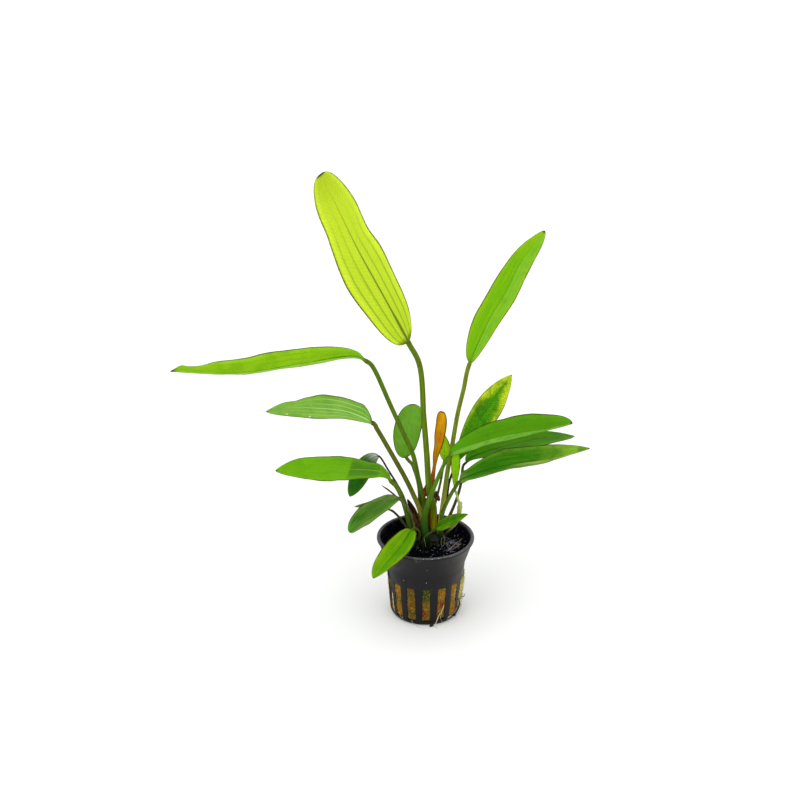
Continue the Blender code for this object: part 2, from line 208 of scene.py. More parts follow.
leaves = {
    "leaf_tall_pale": dict(
        foot=(5, 7), azimuth=-125, stalk=(3.7, 3.0), slot="leaf_yellow_green",
        line=[(0, 63), (2.5, 71), (5.5, 80), (8, 102), (11.5, 128), (15.5, 159), (27.5, 178)],
        blade=[(48, 207), (72, 240.5), (90, 268.5), (101, 285)],
        width=27.6, base=0.37, tip=0.43, roll=(78, 68), fold=14, waves=(0.9, 2.6, 0.15),
        dents=[(0.63, 0.09, 0.13, 0.0), (0.74, 0.1, 0.0, 0.14), (0.12, 0.1, -0.06, 0.02)],
        look=dict(
            # the bright yellow-green tones are partly the leaf's own colour and partly painted
            # light shining through the blade
            face=(224, 240, 42), deep=(206, 230, 26), base=(214, 234, 14), tip=(208, 222, 20),
            edge=(236, 250, 80), vein=(148, 180, 0), rib=(112, 134, 0), stalk=(92, 118, 8),
            foot=(176, 162, 14), footReach=0.2, veinWidth=0.16, veinDepth=0.9, glow=0.45,
            speckle=0.15, tipMark=0.988, margin=(136, 138, 14))),
    "leaf_tall_right": dict(
        foot=(7.8, 5.2), azimuth=20, stalk=(2.8, 2.5), slot="leaf_bright_green",
        line=[(3, 70), (5.5, 90), (8, 105), (11, 124), (14.5, 139), (18, 155)],
        blade=[(29.5, 180), (39, 195), (48, 212), (57, 223), (62, 229)],
        width=20, base=0.52, tip=0.58, roll=(20, 22), fold=10, skew=0.17, waves=(0.35, 3.0, 0.4),
        look=dict(
            face=(122, 187, 6), deep=(112, 180, 4), base=(124, 186, 10), tip=(154, 198, 8),
            tipFrom=0.7, edge=(158, 204, 16), minus=(136, 196, 46), vein=(100, 168, 4),
            rib=(96, 160, 4), stalk=(114, 134, 26), foot=(222, 214, 96), footReach=0.4,
            veinDepth=0.35, glow=0.3, margin=(140, 116, 20))),
    "leaf_long_left": dict(
        foot=(0.2, 7.2), azimuth=180, stalk=(3, 2.7), slot="leaf_bright_green",
        line=[(0.6, 63), (1.3, 70), (4.3, 83), (7.6, 99), (12.5, 111), (20.5, 130), (29.5, 152),
              (34.5, 158)],
        blade=[(44.5, 160.8), (71.5, 156.4), (107.5, 150.6), (146.5, 151.7)],
        width=22.1, base=0.7, tip=0.68, roll=(-15, -1), fold=25, skew=-0.03, waves=(0.3, 3.3, 0.6),
        dents=[(0.86, 0.06, 0.0, 0.22), (0.96, 0.03, -0.3, -0.5)],
        look=dict(
            face=(146, 195, 8), deep=(116, 172, 4), base=(132, 188, 14), tip=(140, 190, 22),
            edge=(168, 218, 34), plus=(168, 216, 84), vein=(112, 174, 4), rib=(70, 108, 4),
            stalk=(82, 116, 12), foot=(150, 168, 30), footReach=0.16, veinDepth=0.6, glow=0.3,
            tipMark=0.962)),
    "leaf_arched_left": dict(
        foot=(-1.5, 4.5), azimuth=-170, stalk=(3, 2.8), slot="leaf_bright_green",
        line=[(1.6, 63.3), (5.9, 75.3), (11.1, 87.3), (19.1, 103.3), (27.1, 118.8), (30.1, 123.3)],
        blade=[(45.1, 131.3), (64.6, 134.9), (78.6, 135.8), (90.6, 134.7)],
        width=19.4, base=0.3, tip=0.77, roll=(-5, -47), fold=10, skew=-0.27, waves=(0.45, 2.4, 0.1),
        dents=[(0.74, 0.07, 0.0, 0.16), (0.08, 0.06, 0.0, -0.2)],
        look=dict(
            face=(126, 178, 56), deep=(88, 150, 34), base=(108, 178, 6), tip=(130, 178, 76),
            # the pale veins and midrib are partly painted sheen on the raised veins
            edge=(134, 188, 56), vein=(176, 218, 126), rib=(190, 226, 140), stalk=(86, 98, 20),
            foot=(170, 168, 44), footReach=0.48, veinWidth=0.18, veinDepth=0.85, glow=0.25,
            margin=(120, 120, 60))),
    "leaf_flat_left": dict(
        foot=(-7.5, 4), azimuth=170, stalk=(3.9, 3.0), slot="leaf_mid_green",
        line=[(3, 60), (6, 71), (9.5, 79), (13, 82.5)],
        blade=[(20, 88.2), (38, 88.2), (53, 87), (69, 85.9), (83.5, 83.5)],
        width=22.3, base=0.7, tip=0.75, roll=(-4, -27), fold=3, skew=0.14, waves=(0.35, 2.2, 0.3),
        dents=[(0.15, 0.05, 0.0, -0.2), (0.05, 0.05, 0.35, 0.0), (0.02, 0.03, 0.2, -0.6)],
        look=dict(
            face=(116, 184, 2), deep=(96, 166, 2), base=(118, 176, 14), tip=(118, 180, 14),
            edge=(122, 186, 16), vein=(88, 154, 4), rib=(124, 184, 30), stalk=(88, 116, 22),
            # the shadow patch is painted shadow of the leaf that lies behind this blade
            foot=(44, 84, 36), footReach=0.6, shadowPatch=(0.25, 0.14), shadowPatchTone=(60, 116, 10),
            veinDepth=0.4)),
    "leaf_hanging_left": dict(
        foot=(-6.5, 7.3), azimuth=140, stalk=(1.5, 1.2), slot="leaf_dark_green",
        line=[(7.5, 67), (13, 75), (20.5, 83), (27.5, 90)],
        blade=[(33, 87.5), (40, 78.5), (46, 67), (52, 55)],
        width=12, base=0.58, tip=0.61, roll=(50, 50), fold=7, skew=0.08, waves=(0.2, 2.0, 0.0),
        look=dict(
            # the near-white base tone is a painted sheen where the blade's base catches the light
            face=(30, 104, 4), deep=(16, 72, 4), base=(236, 240, 226), tip=(64, 132, 16),
            edge=(80, 140, 20), vein=(20, 80, 6), rib=(50, 114, 18), stalk=(40, 48, 14),
            foot=(46, 54, 16), veins=2, glow=0.12, under=(36, 104, 14))),
    "leaf_low_left": dict(
        foot=(-6.3, 1), azimuth=-160, stalk=(2.0, 1.6), slot="leaf_dark_green",
        line=[(0.5, 58), (3, 65), (7, 71.5), (10, 75)],
        blade=[(16, 75), (28, 69), (35, 65), (41, 59)],
        width=15, base=0.58, tip=0.47, roll=(-17, -12), fold=9, waves=(0.45, 1.9, 0.2),
        look=dict(
            face=(50, 104, 8), deep=(44, 106, 18), base=(104, 122, 66), tip=(70, 150, 8),
            edge=(140, 170, 80), plus=(72, 118, 30), vein=(52, 112, 20), rib=(72, 124, 34),
            stalk=(92, 104, 52), foot=(74, 92, 40), glow=0.15, baseTo=0.75)),
    "leaf_tucked_left": dict(
        foot=(-9.3, 1.8), azimuth=175, stalk=(1.8, 1.4), slot="leaf_dark_green",
        line=[(2, 54), (5.5, 59.5), (8, 62.5), (11, 65)],
        blade=[(18, 67.5), (26, 67.5), (33, 66.5)],
        width=7, base=0.7, tip=0.7, roll=(0, 0), fold=8, waves=(0.2, 2.0, 0.0),
        look=dict(
            face=(80, 120, 45), base=(95, 110, 60), tip=(110, 135, 80), stalk=(60, 68, 28),
            foot=(45, 52, 22), veins=2, glow=0.12)),
    "leaf_front_pale": dict(
        foot=(-3.5, -1.6), azimuth=-119, stalk=(1.6, 1.2), slot="leaf_bright_green",
        line=[(0, 52), (4, 57), (9.5, 59)],
        blade=[(20, 55.5), (28, 53.5), (36, 52.5), (45, 51), (55, 49.5)],
        width=15.5, base=0.48, tip=0.66, roll=(-8, 2), fold=16, waves=(0.3, 2.0, 0.5),
        look=dict(
            face=(110, 166, 2), deep=(76, 136, 0), base=(106, 158, 4), tip=(132, 188, 8),
            edge=(158, 196, 8), plus=(92, 158, 0), vein=(98, 158, 2), rib=(60, 112, 2),
            stalk=(84, 102, 24), foot=(60, 66, 26), veins=2, veinDepth=0.6, glow=0.25,
            speckle=0.2)),
    "leaf_front_small": dict(
        foot=(-1.5, -4), azimuth=-20, stalk=(1.6, 1.2), slot="leaf_mid_green",
        line=[(1, 51), (4.5, 54.5), (8, 58.5)],
        blade=[(14.5, 63), (19.5, 66), (27.5, 71)],
        width=10.5, base=0.5, tip=0.95, roll=(25, 27), fold=2, waves=(0.15, 2.0, 0.0),
        look=dict(
            face=(68, 128, 2), deep=(40, 96, 0), base=(58, 116, 4), tip=(86, 132, 12),
            edge=(124, 166, 14), minus=(98, 158, 2), vein=(46, 104, 2), rib=(34, 84, 2),
            stalk=(74, 92, 30), foot=(92, 84, 48), veins=2)),
    "leaf_round_back": dict(
        foot=(-3.3, 10), azimuth=130, stalk=(2.6, 2.1), slot="leaf_bright_green",
        line=[(0.5, 74.2), (6, 87.7), (10, 90.2), (12.5, 91.7)],
        blade=[(13.5, 96.2), (12.5, 106.2), (10.5, 116.2), (6.5, 128.2)],
        width=17, base=0.41, tip=0.37, roll=(-26, -28), fold=6, waves=(0.2, 1.5, 0.3),
        look=dict(
            face=(130, 192, 60), deep=(112, 176, 44), base=(106, 168, 34), tip=(124, 186, 60),
            edge=(104, 170, 40), vein=(100, 160, 44), rib=(124, 176, 66), stalk=(98, 108, 20),
            foot=(70, 84, 22), veinDepth=0.3, glow=0.2)),
    "leaf_withered": dict(
        foot=(1.6, 10), azimuth=15, stalk=(2.6, 3.0), slot="leaf_withered",
        line=[(0.9, 70.5), (2.2, 79)],
        blade=[(3.3, 87.6), (4.7, 97.2), (6.1, 104.8), (7.6, 113.7), (8.2, 124.8)],
        width=7.8, base=1.18, tip=0.3, roll=(30, 40), fold=11, skew=0.04, waves=(0.35, 2.7, 0.2),
        look=dict(
            face=(238, 184, 10), deep=(216, 142, 8), base=(172, 90, 8), baseTo=0.75,
            tip=(250, 206, 14), edge=(120, 72, 14), vein=(190, 104, 6), rib=(176, 92, 10),
            stalk=(126, 82, 8), foot=(120, 70, 16), veinDepth=0.6, glow=0.3, rough=0.6,
            speckle=0.5, margin=(96, 58, 12), tipMark=0.97, under=(150, 80, 12))),
    "leaf_small_back": dict(
        foot=(4.2, 12.2), azimuth=50, stalk=(1.6, 1.4), slot="leaf_bright_green",
        line=[(1.2, 59), (3.9, 66.2), (8, 77.2), (10.8, 89.2)],
        blade=[(11.6, 95.8), (10.8, 101.3), (9, 107.6)],
        width=8.6, base=0.5, tip=0.4, roll=(7, 7), fold=14, waves=(0.15, 1.5, 0.0),
        look=dict(
            face=(196, 236, 14), deep=(172, 216, 10), base=(160, 206, 12), tip=(200, 234, 24),
            edge=(176, 216, 30), vein=(134, 190, 8), rib=(140, 190, 10), stalk=(95, 112, 28),
            foot=(60, 70, 25), veins=2, glow=0.5)),
    "leaf_upper_right": dict(
        foot=(0.5, -1), azimuth=-15, stalk=(4.8, 2.1), slot="leaf_mid_green",
        line=[(-1.5, 60.5), (1.5, 74), (6, 87.5), (10.5, 99), (13.5, 104)],
        blade=[(19.5, 108.7), (42.5, 119.1), (65, 126.1), (83, 132.4)],
        width=21.3, base=0.57, tip=0.54, roll=(25, 9), fold=27, skew=-0.11, waves=(0.3, 2.6, 0.3),
        look=dict(
            face=(86, 148, 0), deep=(68, 140, 2), base=(88, 164, 8), tip=(98, 158, 10),
            edge=(94, 166, 8), minus=(138, 196, 74), vein=(70, 142, 2), rib=(116, 178, 50),
            stalk=(82, 122, 18), foot=(12, 70, 16), footReach=0.62, blush=0.0, veinDepth=0.35,
            margin=(96, 84, 20))),
    "leaf_middle_right": dict(
        foot=(9.7, 8.5), azimuth=27, stalk=(2.0, 1.6), slot="leaf_mid_green",
        line=[(6.5, 59), (10.4, 68), (13, 77.3), (14, 87.6), (16, 90)],
        blade=[(21.5, 93.3), (46.4, 95.3), (75, 94.7), (93, 91.7)],
        width=21, base=0.65, tip=0.77, roll=(2, 8), fold=6, skew=0.11, waves=(0.3, 2.3, 0.6),
        look=dict(
            # the dark greens are partly the leaf's own colour and partly painted shade from the
            # leaves around it
            face=(72, 130, 0), deep=(36, 96, 2), base=(74, 144, 12), tip=(100, 152, 8),
            edge=(84, 156, 14), vein=(44, 114, 8), rib=(24, 78, 18), stalk=(70, 84, 34),
            foot=(54, 58, 26), margin=(60, 70, 16), shine=0.03, under=(90, 140, 30))),
    "leaf_lower_right": dict(
        foot=(8.8, 1.8), azimuth=-6, stalk=(3.2, 2.1), slot="leaf_mid_green",
        line=[(1, 63), (5.5, 75.3), (8.3, 80.7), (10.6, 84.7)],
        blade=[(15.2, 88.1), (34.2, 95.9), (62.7, 102.3), (85.3, 110)],
        width=21.2, base=0.66, tip=0.78, roll=(18, 3), fold=24, skew=-0.13, waves=(0.4, 2.4, 0.2),
        dents=[(0.045, 0.028, -0.35, -0.7)],
        look=dict(
            face=(64, 144, 4), deep=(42, 116, 4), base=(150, 168, 84), tip=(164, 208, 60),
            edge=(130, 178, 44), minus=(186, 210, 96), vein=(46, 120, 4), rib=(40, 104, 6),
            stalk=(80, 108, 28), foot=(16, 60, 32), footReach=0.5, veinDepth=0.45, tipFrom=0.5,
            halfFrom=0.34, baseTo=0.12)),
    "leaf_mottled_back": dict(
        foot=(7.5, 10.8), azimuth=48, stalk=(1.8, 1.4), slot="leaf_mid_green",
        line=[(7, 61), (8.5, 67.5), (10.5, 76.5), (16.5, 86)],
        blade=[(23, 94), (38, 107), (47, 114), (69, 128)],
        width=17.5, base=0.95, tip=0.87, roll=(58, 52), fold=10, waves=(0.35, 2.7, 0.5),
        look=dict(
            margin=(150, 168, 30), face=(84, 170, 4), deep=(50, 124, 4), base=(66, 144, 8),
            tip=(226, 246, 44), tipFrom=0.9, edge=(150, 200, 14), vein=(20, 88, 4),
            rib=(54, 124, 4), stalk=(26, 28, 16), foot=(22, 26, 14), veinDepth=0.6, net=0.55,
            glow=0.3, flame=1.0)),
    "leaf_young_narrow": dict(
        foot=(11.2, 5.2), azimuth=-4, stalk=(1.6, 1.4), slot="leaf_bright_green",
        line=[(7.5, 56), (9.5, 64), (8.5, 69.5), (7, 75)],
        blade=[(6, 79), (6.2, 90), (6.4, 102)],
        width=5.6, base=1.05, tip=0.3, roll=(80, 80), fold=10, waves=(0.12, 1.5, 0.0),
        look=dict(
            face=(168, 226, 16), deep=(136, 202, 10), base=(150, 210, 14), tip=(132, 196, 10),
            edge=(150, 208, 16), vein=(112, 180, 6), rib=(100, 168, 6), stalk=(178, 190, 110),
            foot=(26, 28, 16), veins=2, glow=0.3, footReach=0.62)),
    "stalk_dead": dict(
        foot=(-9.3, 6), azimuth=170, stalk=(1.2, 1.0), slot="dead_tissue",
        line=[(4.5, 67.5), (9, 72.5), (14, 76.5)],
        blade=[(17, 78.5)],
        width=1, base=0.5, tip=0.5, roll=(0, 0), fold=0, waves=(0, 1, 0),
        look=dict(
            face=(48, 46, 25), deep=(30, 28, 16), base=(50, 48, 26), tip=(40, 38, 24),
            edge=(60, 56, 35), rib=(50, 46, 28), stalk=(58, 56, 30), foot=(45, 40, 22), glow=0.0,
            rough=0.75, speckle=0.6)),
    "sheath_brown": dict(
        foot=(-4.2, 1.9), azimuth=180, stalk=(2.0, 1.6), slot="dead_tissue",
        line=[(0.4, 54)],
        blade=[(1.6, 60), (3.9, 66.5), (6.6, 73)],
        width=4.2, base=0.5, tip=0.6, roll=(80, 80), fold=10, waves=(0.2, 1.5, 0.1),
        look=dict(
            face=(40, 18, 10), deep=(28, 14, 10), base=(60, 38, 18), tip=(40, 20, 12),
            edge=(64, 34, 16), vein=(34, 18, 12), rib=(40, 24, 14), stalk=(44, 26, 12),
            foot=(24, 16, 10), glow=0.05, rough=0.6, speckle=0.7, under=(40, 22, 12))),
}


def smoothLine(points):  # Catmull-Rom through the points, as (length so far, point)
    ends = [2 * points[0] - points[1], *points, 2 * points[-1] - points[-2]]
    steps = leafShape["lineSteps"]
    fine = []
    for a, b, c, d in zip(ends, ends[1:], ends[2:], ends[3:]):
        for i in range(steps):
            t = i / steps
            fine.append(0.5 * (2 * b + (c - a) * t + (2 * a - 5 * b + 4 * c - d) * t * t
                               + (3 * b - a - 3 * c + d) * t * t * t))
    fine.append(points[-1])
    line = [(0.0, fine[0])]
    for point in fine[1:]:
        line.append((line[-1][0] + (point - line[-1][1]).length, point))
    return line


def atLength(line, length):
    for (near, a), (far, b) in zip(line, line[1:]):
        if length <= far:
            return a.lerp(b, (length - near) / (far - near))
    return line[-1][1]


def ease(t):
    t = min(max(t, 0.0), 1.0)
    return t * t * (3 - 2 * t)


def outline(t, base, tip):
    widest = base / (base + tip)
    return (t / widest) ** base * (max(1 - t, 0.0) / (1 - widest)) ** tip


def leafFrames(leaf):  # centre, across, up, blade share and stalk share of every ring
    azimuth = radians(leaf["azimuth"])
    out = Vector((cos(azimuth), sin(azimuth), 0))
    side = Vector((-sin(azimuth), cos(azimuth), 0))
    foot = Vector((*leaf["foot"], 0))
    points = [foot + Vector((0, 0, leafShape[height])) for height in ("rootHeight", "footHeight")]
    points += [foot + out * reach + Vector((0, 0, height))
               for reach, height in leaf["line"] + leaf["blade"]]
    line = smoothLine(points)
    whole = line[-1][0]
    start = line[(len(leaf["line"]) + 1) * leafShape["lineSteps"]][0]
    stalkRings, bladeRings = leafShape["stalkRings"], leafShape["bladeRings"]
    lengths = [start * i / stalkRings for i in range(stalkRings)]
    lengths += [start + (whole - start) * (1 - cos(pi * i / bladeRings)) / 2
                for i in range(bladeRings + 1)]
    frames = []
    for length in lengths:
        along = (atLength(line, length + 0.5) - atLength(line, length - 0.5)).normalized()
        t = (length - start) / (whole - start)
        roll = leaf["roll"][0] * ease(1 + 2 * t)
        if t > 0:
            roll += (leaf["roll"][1] - leaf["roll"][0]) * t
        across = (side - along * side.dot(along)).normalized()
        turn = Quaternion(along, radians(roll))
        frames.append((atLength(line, length), turn @ across, turn @ along.cross(across),
                       max(t, 0.0), min(length / start, 1.0)))
    return frames


def leafSection(leaf, t, stalkShare, angle):  # millimetres across and up, and share w
    shape = leafShape
    w = 1 - 2 * abs(angle) / pi
    w *= 0.7 + 0.3 * w * w                     # finer near the midrib
    foot, top = leaf["stalk"]
    half = leaf["width"] / 2 * outline(t, leaf["base"], leaf["tip"])
    widening = max(1 - stalkShare, 0.0) ** shape["taper"]
    radius = (top + (foot - top) * widening) / 2 * (1 - t) + shape["tipRadius"] * t
    flat = ease(half / (shape["flatFrom"] * radius))
    radius *= 1 + shape["sheath"] * (1 - stalkShare) ** 3
    swelling, waves, phase = leaf["waves"]
    beat = sin(2 * pi * (waves * t + phase + (shape["edgeLag"] if w > 0 else 0)))
    half *= 1 + leaf.get("skew", 0) * (1 - 2 * t) * w + shape["edgeWave"] * beat * sin(pi * t)
    for centre, spread, plus, minus in leaf.get("dents", ()):
        half *= 1 - (plus if w > 0 else minus) * exp(-((t - centre) / spread) ** 2)
    ridges = 1 + shape["ridgeDepth"] * cos(shape["ridges"] * angle) * (1 - t)
    ridges -= shape["channel"] * exp(-((angle - pi / 2) / shape["channelWidth"]) ** 2)
    across = cos(angle) * (1 - flat) * radius * ridges + flat * w * max(half, radius)
    body = shape["thickness"] / 2 * sqrt(max(1 - w ** 6, 0.0))
    body *= 1 if angle > 0 else -1
    up = sin(angle) * (1 - flat) * radius * ridges + flat * body
    rib = exp(-(abs(across) / (shape["ribWidth"] + shape["ribWidth"] * (1 - t))) ** 2)
    if angle < 0:
        up -= flat * shape["ribDepth"] * (1 - t) * rib
    else:
        up -= flat * shape["ribGroove"] * rib
    crease = shape["crease"]
    up += flat * tan(radians(leaf["fold"])) * (sqrt(across ** 2 + crease ** 2) - crease * 0.8)
    up += flat * swelling * abs(w) ** 2 * beat * sin(pi * t)
    veins = leaf["look"].get("veins", leafLook["veins"])
    up -= flat * shape["ribbing"] * (1 - t) * cos(2 * pi * veins * w) ** 4
    lump = noise.noise(Vector((across * 0.16, t * leaf["width"] * 0.55, leaf["width"])))
    up += flat * shape["uneven"] * lump * sin(pi * t) * min(abs(w) * 3, 1)
    return across, up, w


def leafMesh(leaf):
    frames = leafFrames(leaf)
    bm = bmesh.new()
    share = bm.verts.layers.float_vector.new("leafShare")
    bmesh.ops.create_cone(bm, cap_ends=True, segments=leafShape["sides"], radius1=1,
                          radius2=1, depth=1)
    upright = [e for e in bm.edges if abs(e.verts[0].co.z - e.verts[1].co.z) > 0.5]
    bmesh.ops.subdivide_edges(bm, edges=upright, cuts=len(frames) - 2)
    for v in bm.verts:
        centre, right, normal, t, stalkShare = frames[round((v.co.z + 0.5) * (len(frames) - 1))]
        angle = atan2(v.co.y, v.co.x)
        across, up, w = leafSection(leaf, t, stalkShare, angle)
        v.co = (centre + right * across + normal * up) * mm
        v[share] = (w, t if t > 0 else stalkShare - 1, 0.5 + 0.5 * sin(angle))
    return bm


def leafFinish(name, leaf):
    look = {**leafLook, **leaf["look"]}
    tone = tonesOf(look)
    material, tree, spot = newMaterial(name)
    share = put(tree, "Attribute", attribute_name="leafShare").outputs["Vector"]
    parts = put(tree, "SeparateXYZ", {"Vector": share}).outputs
    across, along, upper = parts["X"], parts["Y"], parts["Z"]
    reach = calc(tree, "ABSOLUTE", across)

    coats = [(rise(tree, along, 0.0, look["baseTo"]), tone["face"])]
    # painted shadow: a leaf behind blocks the light that shines through this blade
    if look["shadowPatch"]:
        centre, spread = look["shadowPatch"]
        away = calc(tree, "ABSOLUTE", calc(tree, "SUBTRACT", along, centre))
        coats.append((rise(tree, away, spread, spread * 0.75, 0.0, 0.85), tone["shadowPatchTone"]))
    coats.append((rise(tree, along, look["tipFrom"], 1.0), tone["tip"]))
    for half, low, high in (("plus", -0.02, 0.06), ("minus", 0.02, -0.06)):
        if look[half]:
            outer = rise(tree, along, look["halfFrom"], look["halfFrom"] + 0.25)
            coats.append((times(tree, rise(tree, across, low, high), outer), tone[half]))
    coats.append((rise(tree, reach, 0.45, 1.0, 0.0, 0.6), tone["edge"]))
    if look["flame"]:
        ragged = weighted(tree, (along, 1.35), (reach, 0.7),
                          (grain(tree, spot, leafGrain["flame"], 4.0), 0.5))
        coats.append((rise(tree, ragged, 1.28, 1.72, 0.0, look["flame"]), tone["tip"]))
    blotch = grain(tree, spot, leafGrain["blotch"], 4.0, 0.4)
    lengthwise = put(tree, "CombineXYZ", {0: times(tree, across, 15.0),
                                          1: times(tree, along, 4.0),
                                          2: leaf["width"]}).outputs[0]
    fibre = grain(tree, lengthwise, 1.0, 4.0, 0.4)
    coats += [(rise(tree, blotch, 0.42, 0.72, 0.0, look["speckle"] * 2), tone["deep"]),
              (rise(tree, fibre, 0.52, 0.72, 0.0, look["fibre"]), tone["deep"]),
              (rise(tree, fibre, 0.48, 0.28, 0.0, look["fibre"]), tone["edge"])]

    veinPlace = times(tree, reach, float(look["veins"]))
    vein = stripes(tree, veinPlace, look["veinWidth"])
    fine = stripes(tree, times(tree, veinPlace, 5.0), 0.35)
    wobble = grain(tree, spot, leafGrain["wobble"], 2.0)
    rung = stripes(tree, weighted(tree, (along, 46.0), (reach, -5.0), (wobble, 1.6)), 0.22)
    cell = put(tree, "TexVoronoi", {"Vector": spot, "Scale": leafGrain["web"]},
               feature="DISTANCE_TO_EDGE").outputs["Distance"]
    web = times(tree, rise(tree, cell, 0.0, 0.12, 1.0, 0.0), rise(tree, reach, 0.95, 0.6))
    fading = times(tree, vein, rise(tree, along, 1.0, 0.2))
    coats += [(times(tree, rung, look["net"]), tone["vein"]),
              (times(tree, web, look["net"] * 0.8), tone["vein"]),
              (times(tree, fine, 0.12), tone["vein"]),
              (times(tree, fading, look["veinDepth"]), tone["vein"])]
    ribReach = rise(tree, along, 0.3, 0.0, 0.035, 0.135)
    rib = rise(tree, calc(tree, "DIVIDE", reach, ribReach), 1.0, 0.4)
    broken = rise(tree, grain(tree, spot, leafGrain["margin"]), 0.35, 0.6, 0.45, 0.95)
    line = max(1 - 2 * look["marginWidth"] / leaf["width"], 0.8)
    rim = times(tree, rise(tree, reach, line - 0.02, line + 0.02), broken)
    coats += [(times(tree, rib, rise(tree, along, 1.05, 0.3)), tone["rib"]),
              (rim, tone["margin"]),
              (rise(tree, along, look["tipMark"], 0.997), tone["tipTone"])]
    colour = painted(tree, tone["base"], *coats)
    pale = mixColour(tree, 0.35, colour, tone["under"])
    colour = mixColour(tree, rise(tree, upper, 0.5, 0.3, 0.0, 0.5), colour, pale)

    streak = put(tree, "Mapping", {"Vector": spot, "Scale": (900, 900, 60)}).outputs[0]
    lines = grain(tree, streak, 1.0, 3.0)
    warm = rise(tree, grain(tree, streak, 0.35, 2.0), 0.45, 0.7, 0.0, look["blush"])
    stalk = painted(tree, tone["foot"],
                    (rise(tree, along, -0.95, look["footReach"] - 1), tone["stalk"]),
                    (warm, tone["blushTone"]))
    # painted shade: stalks darken towards the crown, from 54 mm down to 46 mm, where the leaves
    # around them shade them
    level = put(tree, "SeparateXYZ", {"Vector": spot}).outputs["Z"]
    stalk = painted(tree, stalk,
                    (rise(tree, lines, 0.35, 0.7, 0.0, 0.75),
                     mixColour(tree, 0.5, stalk, tone["streakTone"])),
                    (rise(tree, level, 54 * mm, 46 * mm, 0.0, 0.85), tone["crownShadeTone"]))
    colour = mixColour(tree, rise(tree, along, 0.0, 0.045), stalk, colour)

    dust = grain(tree, spot, leafGrain["dust"], 2.0)
    height = weighted(tree, (vein, -0.5), (rung, -0.18), (dust, 0.25), (blotch, 0.9),
                      (lines, 0.4))
    rough = rise(tree, grain(tree, spot, leafGrain["rough"]), 0.2, 0.8,
                 look["rough"] - 0.08, look["rough"] + 0.12)
    glow = rise(tree, along, -0.05, 0.05, 0.0, look["glow"])
    glowColour = mixColour(tree, 0.35, colour, tone["face"], "MULTIPLY")
    glowColour = mixColour(tree, 0.7, glowColour, colour)
    return finishMaterial(material, colour, rough, look["shine"], height, 0.35 * mm,
                          glow=glow, glowColour=glowColour)


for node, leaf in leaves.items():
    name = node.replace("leaf_", "") + "_leaf" if "leaf_" in node else node + "_dry"
    place(name, leafMesh(leaf), leafFinish(name, leaf), leaf["slot"], node)
print("leaves placed")


# Pot

pot = dict(
    rim=29.0, height=50.0, base=20.9, collar=23.8, collarHeight=34.5, wall=1.2, lip=2.2,
    footRounding=2.4, corner=1.6, collarStep=0.15, slots=15, slotWidth=5.2, slotBottom=3.2,
    slotTop=25.7, firstSlot=-89.1, slotRounding=0.7, baseSlots=8, baseSlotWidth=3.0,
    baseSlotFrom=7.5, baseSlotTo=16.0, steps=180, softEdge=0.22,
    # Among these tones, the warm one is painted reflection that lightens the right side. The lip
    # band is partly wear and partly painted highlight. The inside ones are painted shade and
    # painted glints on the inner wall.
    tones=dict(deep=(6, 5, 9), face=(18, 15, 19), warm=(58, 52, 44), lip=(92, 92, 98),
               lime=(86, 80, 72), crumbs=(110, 102, 90), inside=(2, 1, 6), wetGlint=(56, 58, 78)),
)


def arc(centreX, centreZ, radius, start, end, count):
    turns = [radians(start + (end - start) * i / (count - 1)) for i in range(count)]
    return [(centreX + radius * cos(t), centreZ + radius * sin(t)) for t in turns]


def spun(profile, steps):  # profile in millimetres, from the top axis down the outside
    bm = bmesh.new()
    ring = [bm.verts.new((r * mm, 0, z * mm)) for r, z in profile]
    edges = [bm.edges.new(pair) for pair in zip(ring, ring[1:])]
    bmesh.ops.spin(bm, geom=ring + edges, cent=(0, 0, 0), axis=(0, 0, 1), angle=2 * pi,
                   steps=steps, use_merge=True, use_duplicate=False)
    bmesh.ops.remove_doubles(bm, verts=bm.verts, dist=0.01 * mm)
    return bm


def potProfile():
    wall, collar, collarHeight = pot["wall"], pot["collar"], pot["collarHeight"]
    lip, corner, foot = pot["lip"] / 2, pot["corner"], pot["footRounding"]
    inside = [(0, wall), (6, wall), (12, wall)]
    inside += arc(pot["base"] - wall - corner, wall + corner, corner, -90, 0, 5)
    inside += [(collar - wall - 0.1, collarHeight - 0.6),
               (collar - wall, collarHeight + pot["collarStep"])]
    over = arc(pot["rim"] - lip, pot["height"] - lip, lip, 170, -25, 12)
    under = [(pot["rim"] - 1.15, pot["height"] - 3.2), (collar + 1.1, collarHeight + 3.2)]
    ledge = [(collar + 0.6, collarHeight + 1.8), (collar + 0.15, collarHeight + 0.3),
             (collar - 0.1, collarHeight - 1.2)]
    bottom = arc(pot["base"] - foot, foot, foot, 0, -90, 8)
    return inside + over + under + ledge + bottom + [(12, 0), (6, 0), (0, 0)]


